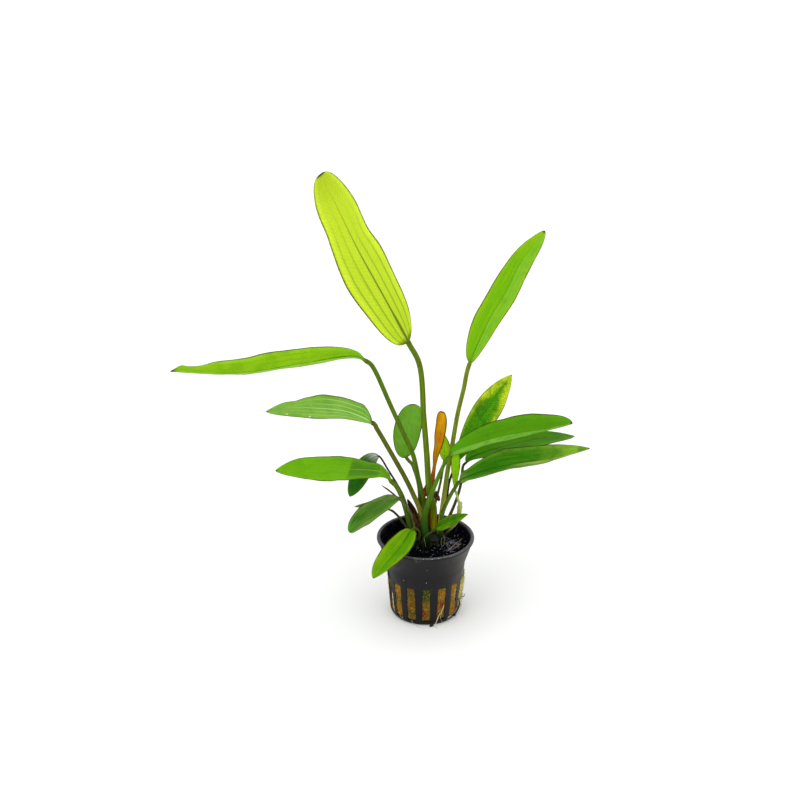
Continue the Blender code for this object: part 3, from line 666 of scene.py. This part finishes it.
def slotBars():
    bm = bmesh.new()

    def bar(angle, start, end, width, bottom, top, rounding):
        made = bmesh.ops.create_cube(bm, size=1)["verts"]
        for v in made:
            along = start + (end - start) * (v.co.x + 0.5)
            across = width * v.co.y
            v.co = Vector((along * cos(angle) - across * sin(angle),
                           along * sin(angle) + across * cos(angle),
                           bottom + (top - bottom) * (v.co.z + 0.5))) * mm
        level = [e for e in bm.edges if e.verts[0] in made and e.verts[1] in made
                 and rounding and abs((e.verts[0].co - e.verts[1].co).z) < 0.1 * mm
                 and abs((e.verts[0].co - e.verts[1].co).length - (end - start) * mm) < 0.1 * mm]
        if level:
            bmesh.ops.bevel(bm, geom=level, offset=rounding * mm, segments=4, profile=0.5,
                            affect="EDGES", material=-1)

    for i in range(pot["slots"]):
        bar(radians(pot["firstSlot"] + 360 * i / pot["slots"]), pot["base"] - 4, pot["rim"],
            pot["slotWidth"], pot["slotBottom"], pot["slotTop"], pot["slotRounding"])
    for i in range(pot["baseSlots"]):
        bar(2 * pi * (i + 0.5) / pot["baseSlots"], pot["baseSlotFrom"], pot["baseSlotTo"],
            pot["baseSlotWidth"], -pot["wall"], 2 * pot["wall"], 0)
    bmesh.ops.recalc_face_normals(bm, faces=bm.faces)
    return bm


def evaluated(helper):  # the helper's mesh with its modifiers, as a bmesh
    bpy.context.view_layer.update()
    whole = helper.evaluated_get(bpy.context.evaluated_depsgraph_get())
    bm = bmesh.new()
    bm.from_mesh(whole.to_mesh())
    bmesh.ops.remove_doubles(bm, verts=bm.verts, dist=0.002 * mm)
    bmesh.ops.dissolve_degenerate(bm, dist=0.002 * mm, edges=bm.edges)
    return bm


def potMesh():
    shell = spun(potProfile(), pot["steps"])
    bmesh.ops.recalc_face_normals(shell, faces=shell.faces)
    body = addObject("pot_body", meshOf("pot_body", shell))
    bars = addObject("slot_bars", meshOf("slot_bars", slotBars()))
    cut = body.modifiers.new("slots", "BOOLEAN")
    cut.operation = "DIFFERENCE"
    cut.object = bars
    soft = body.modifiers.new("soft_edges", "BEVEL")
    soft.width = pot["softEdge"] * mm
    soft.segments = 2
    soft.limit_method = "ANGLE"
    soft.angle_limit = radians(50)
    bm = evaluated(body)
    for helper in (body, bars):
        bpy.data.objects.remove(helper, do_unlink=True)
    return bm


def potFinish():
    material, tree, spot = newMaterial("black_moulded_plastic")
    tone = tonesOf(pot["tones"])
    top = pot["height"]
    parts = put(tree, "SeparateXYZ", {"Vector": spot}).outputs
    cloud = grain(tree, spot, 60.0, 4.0, 0.5)
    scuffedHighlight = rise(tree, grain(tree, spot, 800.0, 3.0), 0.35, 0.65, 0.4, 0.95)
    drip = put(tree, "Mapping", {"Vector": spot, "Scale": (300, 300, 26)}).outputs[0]
    flat = put(tree, "CombineXYZ", {0: parts["X"], 1: parts["Y"]}).outputs[0]
    reach = put(tree, "VectorMath", {0: flat}, operation="LENGTH").outputs["Value"]
    slope = (pot["rim"] - pot["collar"]) / (top - pot["collarHeight"])
    middle = calc(tree, "MULTIPLY_ADD", parts["Z"], slope,
                  (pot["collar"] - pot["wall"] / 2 - slope * pot["collarHeight"]) * mm)
    # painted shade: the inner wall below the rim made near black
    shadedInner = times(tree, rise(tree, calc(tree, "SUBTRACT", reach, middle), 0.3 * mm, -0.2 * mm),
                  rise(tree, parts["Z"], (top - 0.8) * mm, (top - 2) * mm))
    # painted glints of wet droplets on the shaded inner wall
    wetGlint = rise(tree, grain(tree, spot, 620.0, 4.0), 0.54, 0.68, 0.0, 0.7)
    colour = painted(
        tree, tone["deep"],
        (rise(tree, cloud, 0.3, 0.75), tone["face"]),
        # painted reflection: the wall made lighter towards the right side
        (rise(tree, parts["X"], 8 * mm, 27 * mm, 0.0, 0.6), tone["warm"]),
        # a thin band along the rim's top, partly wear and partly painted highlight
        (times(tree, rise(tree, parts["Z"], (top - 0.9) * mm, (top - 0.2) * mm), scuffedHighlight),
         tone["lip"]),
        (rise(tree, grain(tree, drip, 1.0, 4.0), 0.62, 0.8, 0.0, 0.35), tone["lime"]),
        (rise(tree, grain(tree, spot, 1500.0, 2.0), 0.73, 0.78, 0.0, 0.5), tone["crumbs"]),
        (shadedInner, mixColour(tree, wetGlint, tone["inside"], tone["wetGlint"])))
    height = weighted(tree, (grain(tree, spot, 900.0, 3.0), 1.0), (cloud, 1.5))
    return finishMaterial(material, colour, rise(tree, cloud, 0.2, 0.8, 0.38, 0.55),
                          rise(tree, shadedInner, 0.0, 1.0, 0.19, 0.03), height, 0.06 * mm)


place("net_pot", potMesh(), potFinish(), "black_plastic", "pot")
print("pot placed")


# Plug of mineral wool

wool = dict(
    top=43.0, lump=1.1, gap=0.3, steps=220, topRings=36, sideRings=54,
    footDraw=1.6,           # how far the side draws in at the bottom, in millimetres
    footFade=1.2,           # and how quickly that ends above
    bulge=1.85,             # how far it swells into each slot
    fuzzyBulge=0.9,         # and further where it bursts out on the right
    tones=dict(brown=(98, 68, 10), amber=(146, 104, 16), tuft=(104, 96, 30),
               moss=(34, 66, 14), rust=(124, 38, 8), sand=(156, 108, 14), olive=(92, 76, 18),
               earth=(112, 76, 14), straw=(214, 204, 128), shade=(62, 54, 38),
               hollowShade=(52, 34, 8), fibre=(212, 186, 90), darkTop=(3, 2, 7),
               darkTopMottle=(15, 13, 20), darkTopFlecks=(70, 68, 72)),
)

woolStainsAndShade = [              # tone, centre and radius in millimetres; shade is painted shade down the left side, the others are stains
    ("moss", (0.0, -20, 22), 8.5), ("olive", (2.3, -20, 15), 3.4), ("rust", (-1.5, -20, 9.5), 4),
    ("earth", (1.8, -20, 9), 3.4), ("earth", (1.4, -20, 4.5), 3.4), ("sand", (8.8, -18.5, 21), 6),
    ("rust", (9.2, -18.5, 14), 3.2), ("sand", (8.2, -18.5, 10), 3), ("olive", (8.6, -18.5, 5), 3.4),
    ("sand", (15.5, -13.4, 20), 8), ("sand", (15.2, -13.4, 8), 6),
    ("olive", (-8.4, -18.8, 21), 5.5), ("earth", (-7.4, -18.8, 14), 3.6),
    ("olive", (-8.4, -18.8, 8), 5), ("sand", (-15.2, -13.9, 22), 6), ("sand", (-15.0, -13.9, 8), 7),
    ("straw", (20.6, -6, 18), 11), ("shade", (-20.5, -6.6, 16), 10),
]


def woolLump(x, y):  # the same slow unevenness as the solid's top
    return wool["lump"] * (0.5 * sin(0.42 * x + 1.0) * cos(0.37 * y)
                           + 0.3 * sin(0.9 * x - 0.7 * y) + 0.2 * cos(1.3 * y + 0.4 * x))


def woolRadius(z):  # outside of the plug at a height, against the pot's inner wall
    collar = pot["collar"] - pot["wall"] - 2 * wool["gap"]
    base = pot["base"] - pot["wall"] - 2 * wool["gap"]
    if z < pot["collarHeight"]:
        return base + (collar - base) * max(z, 0) / pot["collarHeight"]
    slope = (pot["rim"] - pot["collar"]) / (pot["height"] - pot["collarHeight"])
    return collar + (z - pot["collarHeight"]) * slope


def woolMesh():
    rings, sides = wool["topRings"], wool["sideRings"]
    bottom = pot["wall"] + wool["gap"]
    top = woolRadius(wool["top"])
    profile = [(top * i / rings, wool["top"]) for i in range(rings)]
    heights = [wool["top"] - 0.3 + (bottom + 0.4 - wool["top"]) * i / sides
               for i in range(sides + 1)]
    profile += [(woolRadius(z) - wool["footDraw"] * exp(-(z - bottom) / wool["footFade"]), z)
                for z in heights]
    profile += [(12, bottom), (0, bottom)]
    bm = spun(profile, wool["steps"])
    slotStep = radians(360 / pot["slots"])
    for v in bm.verts:
        x, y, z = v.co / mm
        flat = sqrt(x * x + y * y)
        if z > wool["top"] - 0.2:
            rough = noise.fractal(Vector((x, y, 3)) * 0.9, 1.0, 2.0, 4)
            z += woolLump(x, y) * min(1, (top - flat) / 3 + 0.3) + 0.8 * rough
        elif z > bottom + 0.2:
            turn = (atan2(y, x) - radians(pot["firstSlot"])) / slotStep
            off = abs(turn - round(turn)) * slotStep * flat
            inSlot = ease((pot["slotWidth"] / 2 + 0.15 - off) / 0.5)
            inSlot *= ease((z - pot["slotBottom"] + 0.1) / 0.6)
            inSlot *= ease((pot["slotTop"] + 0.1 - z) / 0.6)
            rough = noise.fractal(Vector((x, y, z)) * 0.8, 1.0, 2.0, 4)
            burst = wool["fuzzyBulge"] * ease((x - 17) / 3) * ease((z - 8) / 5)
            grow = -0.25 + inSlot * (wool["bulge"] + burst + 0.7 * rough)
            x, y = x * (1 + grow / flat), y * (1 + grow / flat)
        v.co = Vector((x, y, z)) * mm
    return bm


def near(tree, spot, centre, radius):  # soft ball of influence, in millimetres
    distance = put(tree, "VectorMath", {0: spot, 1: tuple(c * mm for c in centre)},
                   operation="DISTANCE").outputs["Value"]
    return rise(tree, distance, radius * mm, radius * 0.35 * mm, 0.0, 0.95)


def woolFinish():
    material, tree, spot = newMaterial("wet_mineral_wool")
    tone = tonesOf(wool["tones"])
    level = put(tree, "SeparateXYZ", {"Vector": spot}).outputs["Z"]
    cloud = grain(tree, spot, 260.0, 5.0, 0.8)
    fluff = grain(tree, spot, 1400.0, 4.0, 1.2)
    tufts = grain(tree, spot, 110.0, 3.0, 0.6)
    stainsAndShade = [(near(tree, spot, centre, radius), tone[tint])
              for tint, centre, radius in woolStainsAndShade]
    # from 30 to 36 mm up the wool turns near black, with mottling and paler flecks
    upper = rise(tree, level, 30 * mm, 36 * mm)
    darkTop = painted(tree, tone["darkTop"], (rise(tree, fluff, 0.5, 0.75), tone["darkTopMottle"]),
                   (rise(tree, fluff, 0.74, 0.8, 0.0, 0.6), tone["darkTopFlecks"]))
    colour = painted(tree, tone["brown"], (rise(tree, cloud, 0.3, 0.7), tone["amber"]),
                     (rise(tree, tufts, 0.47, 0.6, 0.0, 0.6), tone["tuft"]), *stainsAndShade,
                     # painted shade in the hollows of the fluff
                     (rise(tree, fluff, 0.56, 0.34, 0.0, 0.8), tone["hollowShade"]),
                     # pale fibre tips, partly painted highlight on the fluff
                     (rise(tree, fluff, 0.58, 0.7, 0.0, 0.5), tone["fibre"]), (upper, darkTop))
    height = weighted(tree, (cloud, 1.0), (fluff, 1.0))
    return finishMaterial(material, colour, rise(tree, cloud, 0.3, 0.7, 0.55, 0.9),
                          rise(tree, upper, 0.0, 1.0, 0.12, 0.05), height, 0.7 * mm, 0.9)


place("wool_plug", woolMesh(), woolFinish(), "mineral_wool", "rockwool_plug")
print("plug placed")


# Rootstock with its stilt roots

crown = dict(
    centre=(1.2, 5.2, 45.6), size=(10.2, 7.4, 4.6), roots=24, rootRadius=0.55,
    stride=(2.0, 3.6),      # least and most that a root reaches out, in millimetres
    bend=0.6, drop=5.0,
)

barkTones = dict(           # dark, light and flecks of each skin, 0-255
    crown_skin=((14, 15, 8), (34, 36, 15), (70, 64, 40)),
    root_skin=((20, 20, 12), (56, 52, 32), (110, 100, 76)),
    pale_root_hair=((168, 158, 112), (224, 214, 176), (240, 236, 210)),
    loose_wool_fibre=((96, 100, 122), (206, 210, 226), (240, 242, 250)),
    wool_fuzz=((140, 118, 44), (206, 190, 100), (226, 216, 150)),
    soiled_root=((10, 8, 8), (30, 24, 20), (70, 60, 44)),
    rootlet_skin=((150, 104, 92), (214, 178, 166), (236, 214, 206)),
    lime=((170, 168, 160), (225, 222, 214), (240, 240, 235)),
    wet_soil=((12, 10, 10), (34, 28, 24), (60, 50, 40)),
    dry_tissue=((40, 18, 8), (112, 54, 18), (176, 104, 40)),
    pale_sheath=((120, 140, 60), (176, 186, 110), (226, 226, 180)),
    old_sheath=((10, 6, 6), (74, 36, 16), (150, 82, 34)),
)


def smoothPath(points):  # a smooth line through the points, thinned for fine threads
    line = smoothLine([Vector(point) for point in points])
    return [point for _, point in line][::leafShape["lineSteps"] // 5]


def rootLine(i, rng):
    angle = 2 * pi * (i + 0.3) / crown["roots"] + rng.uniform(-0.1, 0.1)
    cx, cy, cz = crown["centre"]
    sx, sy, sz = crown["size"]
    reach = rng.uniform(0.6, 0.9)
    start = Vector((cx + reach * sx * cos(angle), cy + reach * sy * sin(angle), cz + 1.2))
    stride = Vector((cos(angle), sin(angle), 0)) * rng.uniform(*crown["stride"])
    most = crown["bend"]
    bend = Vector((rng.uniform(-most, most), rng.uniform(-most, most), 0))
    return smoothPath([start, start + 0.45 * stride + Vector((0, 0, 0.2)),
                       start + 0.85 * stride + bend + Vector((0, 0, -2.2)),
                       start + stride + bend * 1.5 - Vector((0, 0, crown["drop"]))])


def threads(name, lines, radius, material, slot, taper=0.4, rings=1):
    curve = bpy.data.curves.new(name, "CURVE")
    curve.dimensions = "3D"
    curve.bevel_depth = radius * mm
    curve.bevel_resolution = rings
    curve.use_fill_caps = True
    for line in lines:
        spline = curve.splines.new("POLY")
        spline.points.add(len(line) - 1)
        for i, (point, where) in enumerate(zip(spline.points, line)):
            point.co = (*(Vector(where) * mm), 1)
            point.radius = 1 + (taper - 1) * i / (len(line) - 1)
    helper = addObject(name + "_line", curve)
    bm = evaluated(helper)
    bpy.data.objects.remove(helper, do_unlink=True)
    place(name, bm, material, slot)


def barkFinish(name, shine=0.2):
    material, tree, spot = newMaterial(name)
    dark, light, flecks = [srgb(*tone) for tone in barkTones[name]]
    cloud = grain(tree, spot, 420.0, 4.0, 0.6)
    skin = grain(tree, spot, 2400.0, 3.0)
    colour = painted(tree, dark, (rise(tree, cloud, 0.3, 0.7), light),
                     (rise(tree, skin, 0.62, 0.75, 0.0, 0.6), flecks))
    height = weighted(tree, (cloud, 1.0), (skin, 0.5))
    return finishMaterial(material, colour, rise(tree, cloud, 0.3, 0.7, 0.45, 0.75), shine,
                          height, 0.3 * mm, 0.7)


def crownMesh():
    bm = bmesh.new()
    bmesh.ops.create_icosphere(bm, subdivisions=5, radius=1)
    cx, cy, cz = crown["centre"]
    sx, sy, sz = crown["size"]
    for v in bm.verts:
        x, y, z = v.co
        lumps = 1 + 0.07 * sin(5 * atan2(y, x)) + 0.16 * noise.fractal(v.co * 2.6, 1.0, 2.0, 4)
        v.co = Vector((cx + x * sx * lumps, cy + y * sy * lumps, cz + z * sz * lumps)) * mm
    return bm


place("crown", crownMesh(), barkFinish("crown_skin"), "root", "rootstock")
rootRng = Random(11)
threads("stilt_roots", [rootLine(i, rootRng) for i in range(crown["roots"])],
        crown["rootRadius"], barkFinish("root_skin"), "root", taper=0.75, rings=3)
print("crown placed")


# Loose fibres, root hairs and scraps

fibres = dict(              # how many, and radii in millimetres
    top=230, topRadius=0.075, perSlot=40, slotRadius=0.05, burst=190, hairRadius=0.1,
    rootRadius=0.24, soiledRadius=0.28, twigRadius=0.24, speckRadius=0.22,
    leafCrumbRadius=0.6, wetCrumbRadius=1.0, scrapThickness=0.2,
    crowded=0.7,            # share of the top ones that lie in the crowd on the right
    crowd=(16, 0, 7), scattered=(0, 2, 18),  # where, and how far they spread
    topReach=24,
)

hairs = [                    # fine roots that creep out of the pot, in millimetres
    [(20.9, -5.2, 8.6), (22.2, -5.4, 10.0), (23.4, -5.2, 11.8)],
    [(-5.6, -21.4, 0.6), (-3.8, -22.4, 0.4), (-2.2, -23.6, 0.4), (-1.1, -26.6, 0.4)],
    [(-8.2, -20.2, 3.6), (-7.4, -21.1, 1.6), (-6.3, -21.8, 0.4)],
    [(4.6, -22.4, 1.2), (6.4, -23.2, 0.5), (7.2, -25.0, 0.4)],
    [(9.6, -20.6, 9.5), (8.8, -20.9, 6.0), (9.6, -20.6, 3.4), (10.4, -19.4, 1.4)],
    [(-15.6, -15.3, 6.4), (-14.8, -16.1, 3.8), (-13.8, -16.8, 3.0), (-13.4, -17.1, 4.6)],
    [(-21.0, -7.4, 27), (-21.6, -7.6, 20), (-20.8, -8.2, 13), (-20.2, -7.8, 7)],
    [(-17.4, -14.4, 25), (-16.8, -14.6, 20), (-17.0, -14.2, 15.5)],
    [(-22.4, -7.0, 31.0), (-21.9, -7.4, 24), (-21.4, -7.4, 17), (-20.6, -7.8, 10)],
    [(20.8, -8.0, 6), (19.6, -10.6, 2.6), (18.6, -11.6, 0.8)],
    [(22.0, -3.6, 25), (22.9, -4.4, 20), (22.2, -4.8, 14.5), (22.8, -4.2, 11)],
    [(22.4, -5.8, 22), (22.0, -6.6, 16.5), (22.6, -6.0, 12.0), (21.4, -7.0, 7)],
    [(13.4, -17.8, 4.4), (16.6, -15.3, 5.4), (19.4, -11.8, 8.8), (18.9, -12.8, 13)],
    [(19.4, -11.0, 8.0), (20.2, -10.4, 11.6), (19.6, -11.0, 15.0), (20.6, -9.6, 18.0)],
    [(20.4, -7.6, 6.0), (22.0, -7.8, 6.8), (23.6, -7.0, 6.2)],
    [(15.2, -15.0, 3.0), (13.6, -17.2, 3.4), (12.6, -18.4, 2.0), (14.0, -17.6, 1.0)],
    [(-0.9, -5.4, 50.5), (-0.3, -6.0, 47.6), (0.3, -6.2, 44.2)],
    [(10.8, -2.4, 51.0), (11.4, -3.6, 48.0), (10.2, -5.0, 44.2)],
    [(9.6, -3.4, 50.0), (9.2, -4.6, 47.0), (9.8, -5.6, 44.2)],
]

roots = [                    # thicker pale roots on the wall
    [(5.2, -22.0, 0.8), (6.5, -21.5, 3.6), (7.8, -21.2, 7.2), (9.9, -20.2, 10.8),
     (11.0, -19.5, 14.2)],
    [(-22.9, -5.6, 33.0), (-22.2, -6.2, 22), (-21.5, -6.6, 12), (-20.9, -6.9, 5)],
    [(-19.7, -10.8, 17), (-19.1, -11.2, 10), (-18.5, -11.2, 4)],
]

soiled = [                   # dark wet rootlets at both edges of the wall
    [(-22.4, -7.6, 33.5), (-21.8, -8.2, 24), (-20.9, -8.6, 14), (-20.2, -8.8, 6)],
    [(21.6, -4.0, 10.6), (22.8, -4.4, 10.2), (23.5, -4.4, 11.0), (23.9, -4.4, 12.4)],
    [(19.9, -10.4, 12.6), (20.8, -9.6, 9.0), (20.0, -9.6, 5.2), (18.0, -12.0, 2.4)],
    [(17.4, -13.6, 5.4), (18.6, -12.0, 4.0), (19.6, -10.6, 5.4)],
]

twigs = [                    # dead rootlets lying on the wool
    [(13.4, -7.4, 43.6), (16.6, -2.8, 44.5), (19.8, 1.6, 44.8), (22.4, 5.6, 44.6)],
    [(17.6, -4.8, 43.9), (19.6, -2.4, 44.3), (21.4, 0.4, 44.1)],
]

specks = [                   # crumbs of lime on the lip and the wall, in millimetres
    (-8.3, -27.0, 49.7), (-7.0, -27.4, 49.8), (-1.7, -28.4, 49.8), (3.4, -28.5, 49.7),
    (7.0, -27.8, 49.8), (10.3, -21.5, 48.3), (0.4, -27.3, 41.5), (0.2, -23.9, 31.2),
    (-12.9, -20.0, 30.6), (14.4, -25.0, 49.6), (-3.2, -10.2, 45.2),
    (-5.4, -2.4, 52.0), (17.8, 8.2, 45.0), (12.4, -12.4, 44.4), (3.0, -16.0, 44.2),
]

leafCrumbs = [(-78.6, -13.0, 133.9), (-65.9, -13.4, 132.5)]
wetCrumbs = [(4.0, -21.4, 0.9), (3.0, -21.8, 0.6), (19.4, -9.6, 6.1), (17.4, -12.6, 2.4)]


def topFibres(rng):
    lines = []
    for _ in range(fibres["top"]):
        crowded = rng.random() < fibres["crowded"]
        centreX, centreY, spread = fibres["crowd" if crowded else "scattered"]
        x, y = centreX + rng.gauss(0, spread / 2), centreY + rng.gauss(0, spread / 1.6)
        if sqrt(x * x + y * y) > fibres["topReach"]:
            continue
        turn, length = rng.uniform(0, 2 * pi), rng.uniform(0.7, 2.6)
        height = wool["top"] + woolLump(x, y) + rng.uniform(0.2, 0.9)
        step = Vector((cos(turn), sin(turn), rng.uniform(-0.25, 0.25))) * length
        start = Vector((x, y, height))
        lines.append([start, start + step * 0.5 + Vector((0, 0, rng.uniform(0.1, 0.5))),
                      start + step])
    return lines


def wallFibres(rng):  # fuzz of the wool in every slot, thicker where it bursts out
    lines = []
    for i in range(pot["slots"]):
        slotTurn = radians(pot["firstSlot"] + 360 * i / pot["slots"])
        burst = cos(slotTurn + 0.15) > 0.9
        for _ in range(fibres["burst"] if burst else fibres["perSlot"]):
            z = rng.uniform(pot["slotBottom"] + 1, pot["slotTop"] - 1)
            radius = woolRadius(z) + wool["bulge"] - 0.3 + (wool["fuzzyBulge"] if burst else 0)
            turn = slotTurn + rng.uniform(-1, 1) * (pot["slotWidth"] / 2 - 0.3) / radius
            out = Vector((cos(turn), sin(turn), 0))
            side = Vector((-sin(turn), cos(turn), 0))
            lean = side * rng.uniform(-1, 1) + Vector((0, 0, rng.uniform(-1.6, 1.6)))
            start = out * radius + Vector((0, 0, z)) - out * 0.2
            reach = rng.uniform(0.3, 1.3 if burst else 0.7)
            lines.append([start, start + out * reach * 0.8 + lean * 0.4,
                          start + out * reach + lean])
    return lines


def crumbMesh(places, radius, seed):  # small lumps, each squashed and dented its own way
    rng = Random(seed)
    bm = bmesh.new()
    for x, y, z in places:
        made = bmesh.ops.create_icosphere(bm, subdivisions=2, radius=1)["verts"]
        size = radius * rng.uniform(0.7, 1.3)
        for v in made:
            dent = 1 + 0.5 * noise.noise(v.co * 1.8 + Vector((x, y, z)))
            flat = Vector((v.co.x, v.co.y * 0.8, v.co.z * 0.7))
            v.co = (Vector((x, y, z)) + flat * dent * size) * mm
    return bm


scraps = [                   # centre, size, turn, curl and lean of ribbons of dry tissue
    dict(at=(5.7, 6.2, 73.7), size=(3.0, 6.5), turn=-60, curl=120, lean=22),
    dict(at=(0.3, 6.0, 77.4), size=(3.0, 8.0), turn=-80, curl=140, lean=-6),
    dict(at=(1.0, 5.6, 71.0), size=(2.4, 6.0), turn=-70, curl=130, lean=-14),
]

folds = [                    # and of the old sheath on the left of the crown
    dict(at=(-7.3, 1.6, 62.2), size=(2.6, 12.0), turn=-100, curl=170, lean=27),
    dict(at=(-5.6, 1.2, 58.0), size=(2.8, 9.0), turn=-80, curl=150, lean=20),
    dict(at=(-3.6, 0.6, 54.0), size=(2.6, 7.0), turn=-90, curl=150, lean=14),
]

paleFolds = [                # and the pale sheath of the young leaf
    dict(at=(20.3, 5.6, 65.0), size=(2.6, 10.0), turn=-90, curl=150, lean=-5),
]


def scrapMesh(ribbons):  # bent, ragged ribbons of dry tissue
    bm = bmesh.new()
    for i, scrap in enumerate(ribbons):
        grid = bmesh.ops.create_grid(bm, x_segments=12, y_segments=16, size=0.5)["verts"]
        width, height = scrap["size"]
        radius = width / radians(scrap["curl"]) * 1.4
        for v in grid:
            share, up = v.co.x, v.co.y
            ragged = 1 - 0.75 * abs(2 * up) ** 2.5 + 0.3 * noise.noise(Vector((up * 6, i, 0)))
            bend = radians(scrap["curl"]) * share * ragged + radians(scrap["turn"])
            swell = 1 + 0.2 * noise.noise(Vector((share * 4, up * 5, i * 3)))
            lean = up * height * tan(radians(scrap["lean"]))
            up += 0.15 * noise.noise(Vector((share * 6, i * 5, up)))
            v.co = (Vector(scrap["at"]) + Vector((radius * swell * cos(bend) - lean,
                                                  radius * swell * sin(bend),
                                                  up * height))) * mm
    back = bmesh.ops.extrude_face_region(bm, geom=bm.faces[:])["geom"]
    bm.normal_update()
    for v in back:
        if isinstance(v, bmesh.types.BMVert):
            v.co += v.normal * fibres["scrapThickness"] * mm
    return bm


fibreRng = Random(5)
paleHair = barkFinish("pale_root_hair")
threads("top_fibres", topFibres(fibreRng), fibres["topRadius"], barkFinish("loose_wool_fibre"),
        "mineral_wool", rings=0)
threads("wall_fibres", wallFibres(fibreRng), fibres["slotRadius"], barkFinish("wool_fuzz"),
        "mineral_wool", rings=0)
threads("root_hairs", [smoothPath(line) for line in hairs], fibres["hairRadius"], paleHair,
        "root")
threads("pale_roots", [smoothPath(line) for line in roots], fibres["rootRadius"], paleHair,
        "root", taper=0.6, rings=2)
threads("soiled_rootlets", [smoothPath(line) for line in soiled], fibres["soiledRadius"],
        barkFinish("soiled_root"), "root", taper=0.5, rings=2)
threads("dead_rootlets", [smoothPath(line) for line in twigs], fibres["twigRadius"],
        barkFinish("rootlet_skin"), "root", rings=2)
lime = barkFinish("lime")
place("lime_specks", crumbMesh(specks, fibres["speckRadius"], 3), lime, "mineral_wool")
place("leaf_crumbs", crumbMesh(leafCrumbs, fibres["leafCrumbRadius"], 3), lime, "mineral_wool")
place("wet_crumb", crumbMesh(wetCrumbs, fibres["wetCrumbRadius"], 4), barkFinish("wet_soil"),
      "mineral_wool")
place("dry_scraps", scrapMesh(scraps), barkFinish("dry_tissue"), "dead_tissue")
place("young_sheath", scrapMesh(paleFolds), barkFinish("pale_sheath"), "leaf_bright_green")
place("sheath_folds", scrapMesh(folds), barkFinish("old_sheath", 0.3), "dead_tissue")
print("fibres and scraps placed")


# Studio

studio = dict(
    camera=(-0.01517, -0.70318, 0.43119), pitch=67.3, lens=60.21, sensor=36,
    floorSize=6.0, floorTones=((238, 238, 238), (242, 242, 242)), sky=1.2,
    aim=(0, 0, 0.12),       # the point that both lamps shine at
    lamps=dict(key=((-0.9, -0.7, 1.3), 6.0, 1.2),      # place, power and size
               fill=((1.1, -0.9, 0.8), 2.5, 1.4)),
)


def floorFinish():
    material, tree, spot = newMaterial("pale_paper")
    colour = mixColour(tree, grain(tree, spot, 3.0, 2.0),
                       *[srgb(*tone) for tone in studio["floorTones"]])
    return finishMaterial(material, colour, 0.9, 0.1, grain(tree, spot, 500.0), 0.02 * mm, 0.2)


def studioSet():
    bm = bmesh.new()
    bmesh.ops.create_grid(bm, x_segments=8, y_segments=8, size=studio["floorSize"] / 2)
    floor = addObject("floor", meshOf("floor", bm))
    floor.data.materials.append(floorFinish())

    world = bpy.data.worlds.new("studio")
    world.use_nodes = True
    sky = world.node_tree.nodes["Background"]
    sky.inputs["Color"].default_value = (1, 1, 1, 1)
    sky.inputs["Strength"].default_value = studio["sky"]
    bpy.context.scene.world = world

    for name, (where, power, size) in studio["lamps"].items():
        light = bpy.data.lights.new(name, "AREA")
        light.energy = power
        light.size = size
        lamp = addObject(name, light)
        lamp.location = where
        towards = Vector(studio["aim"]) - lamp.location
        lamp.rotation_euler = towards.to_track_quat("-Z", "Y").to_euler()

    camera = addObject("camera", bpy.data.cameras.new("camera"))
    camera.location = studio["camera"]
    camera.rotation_euler = (radians(studio["pitch"]), 0, 0)
    camera.data.lens = studio["lens"]
    camera.data.sensor_width = studio["sensor"]
    camera.data.clip_start = 0.01
    bpy.context.scene.camera = camera
    bpy.context.scene.view_settings.view_transform = "Standard"


studioSet()
print("studio placed")
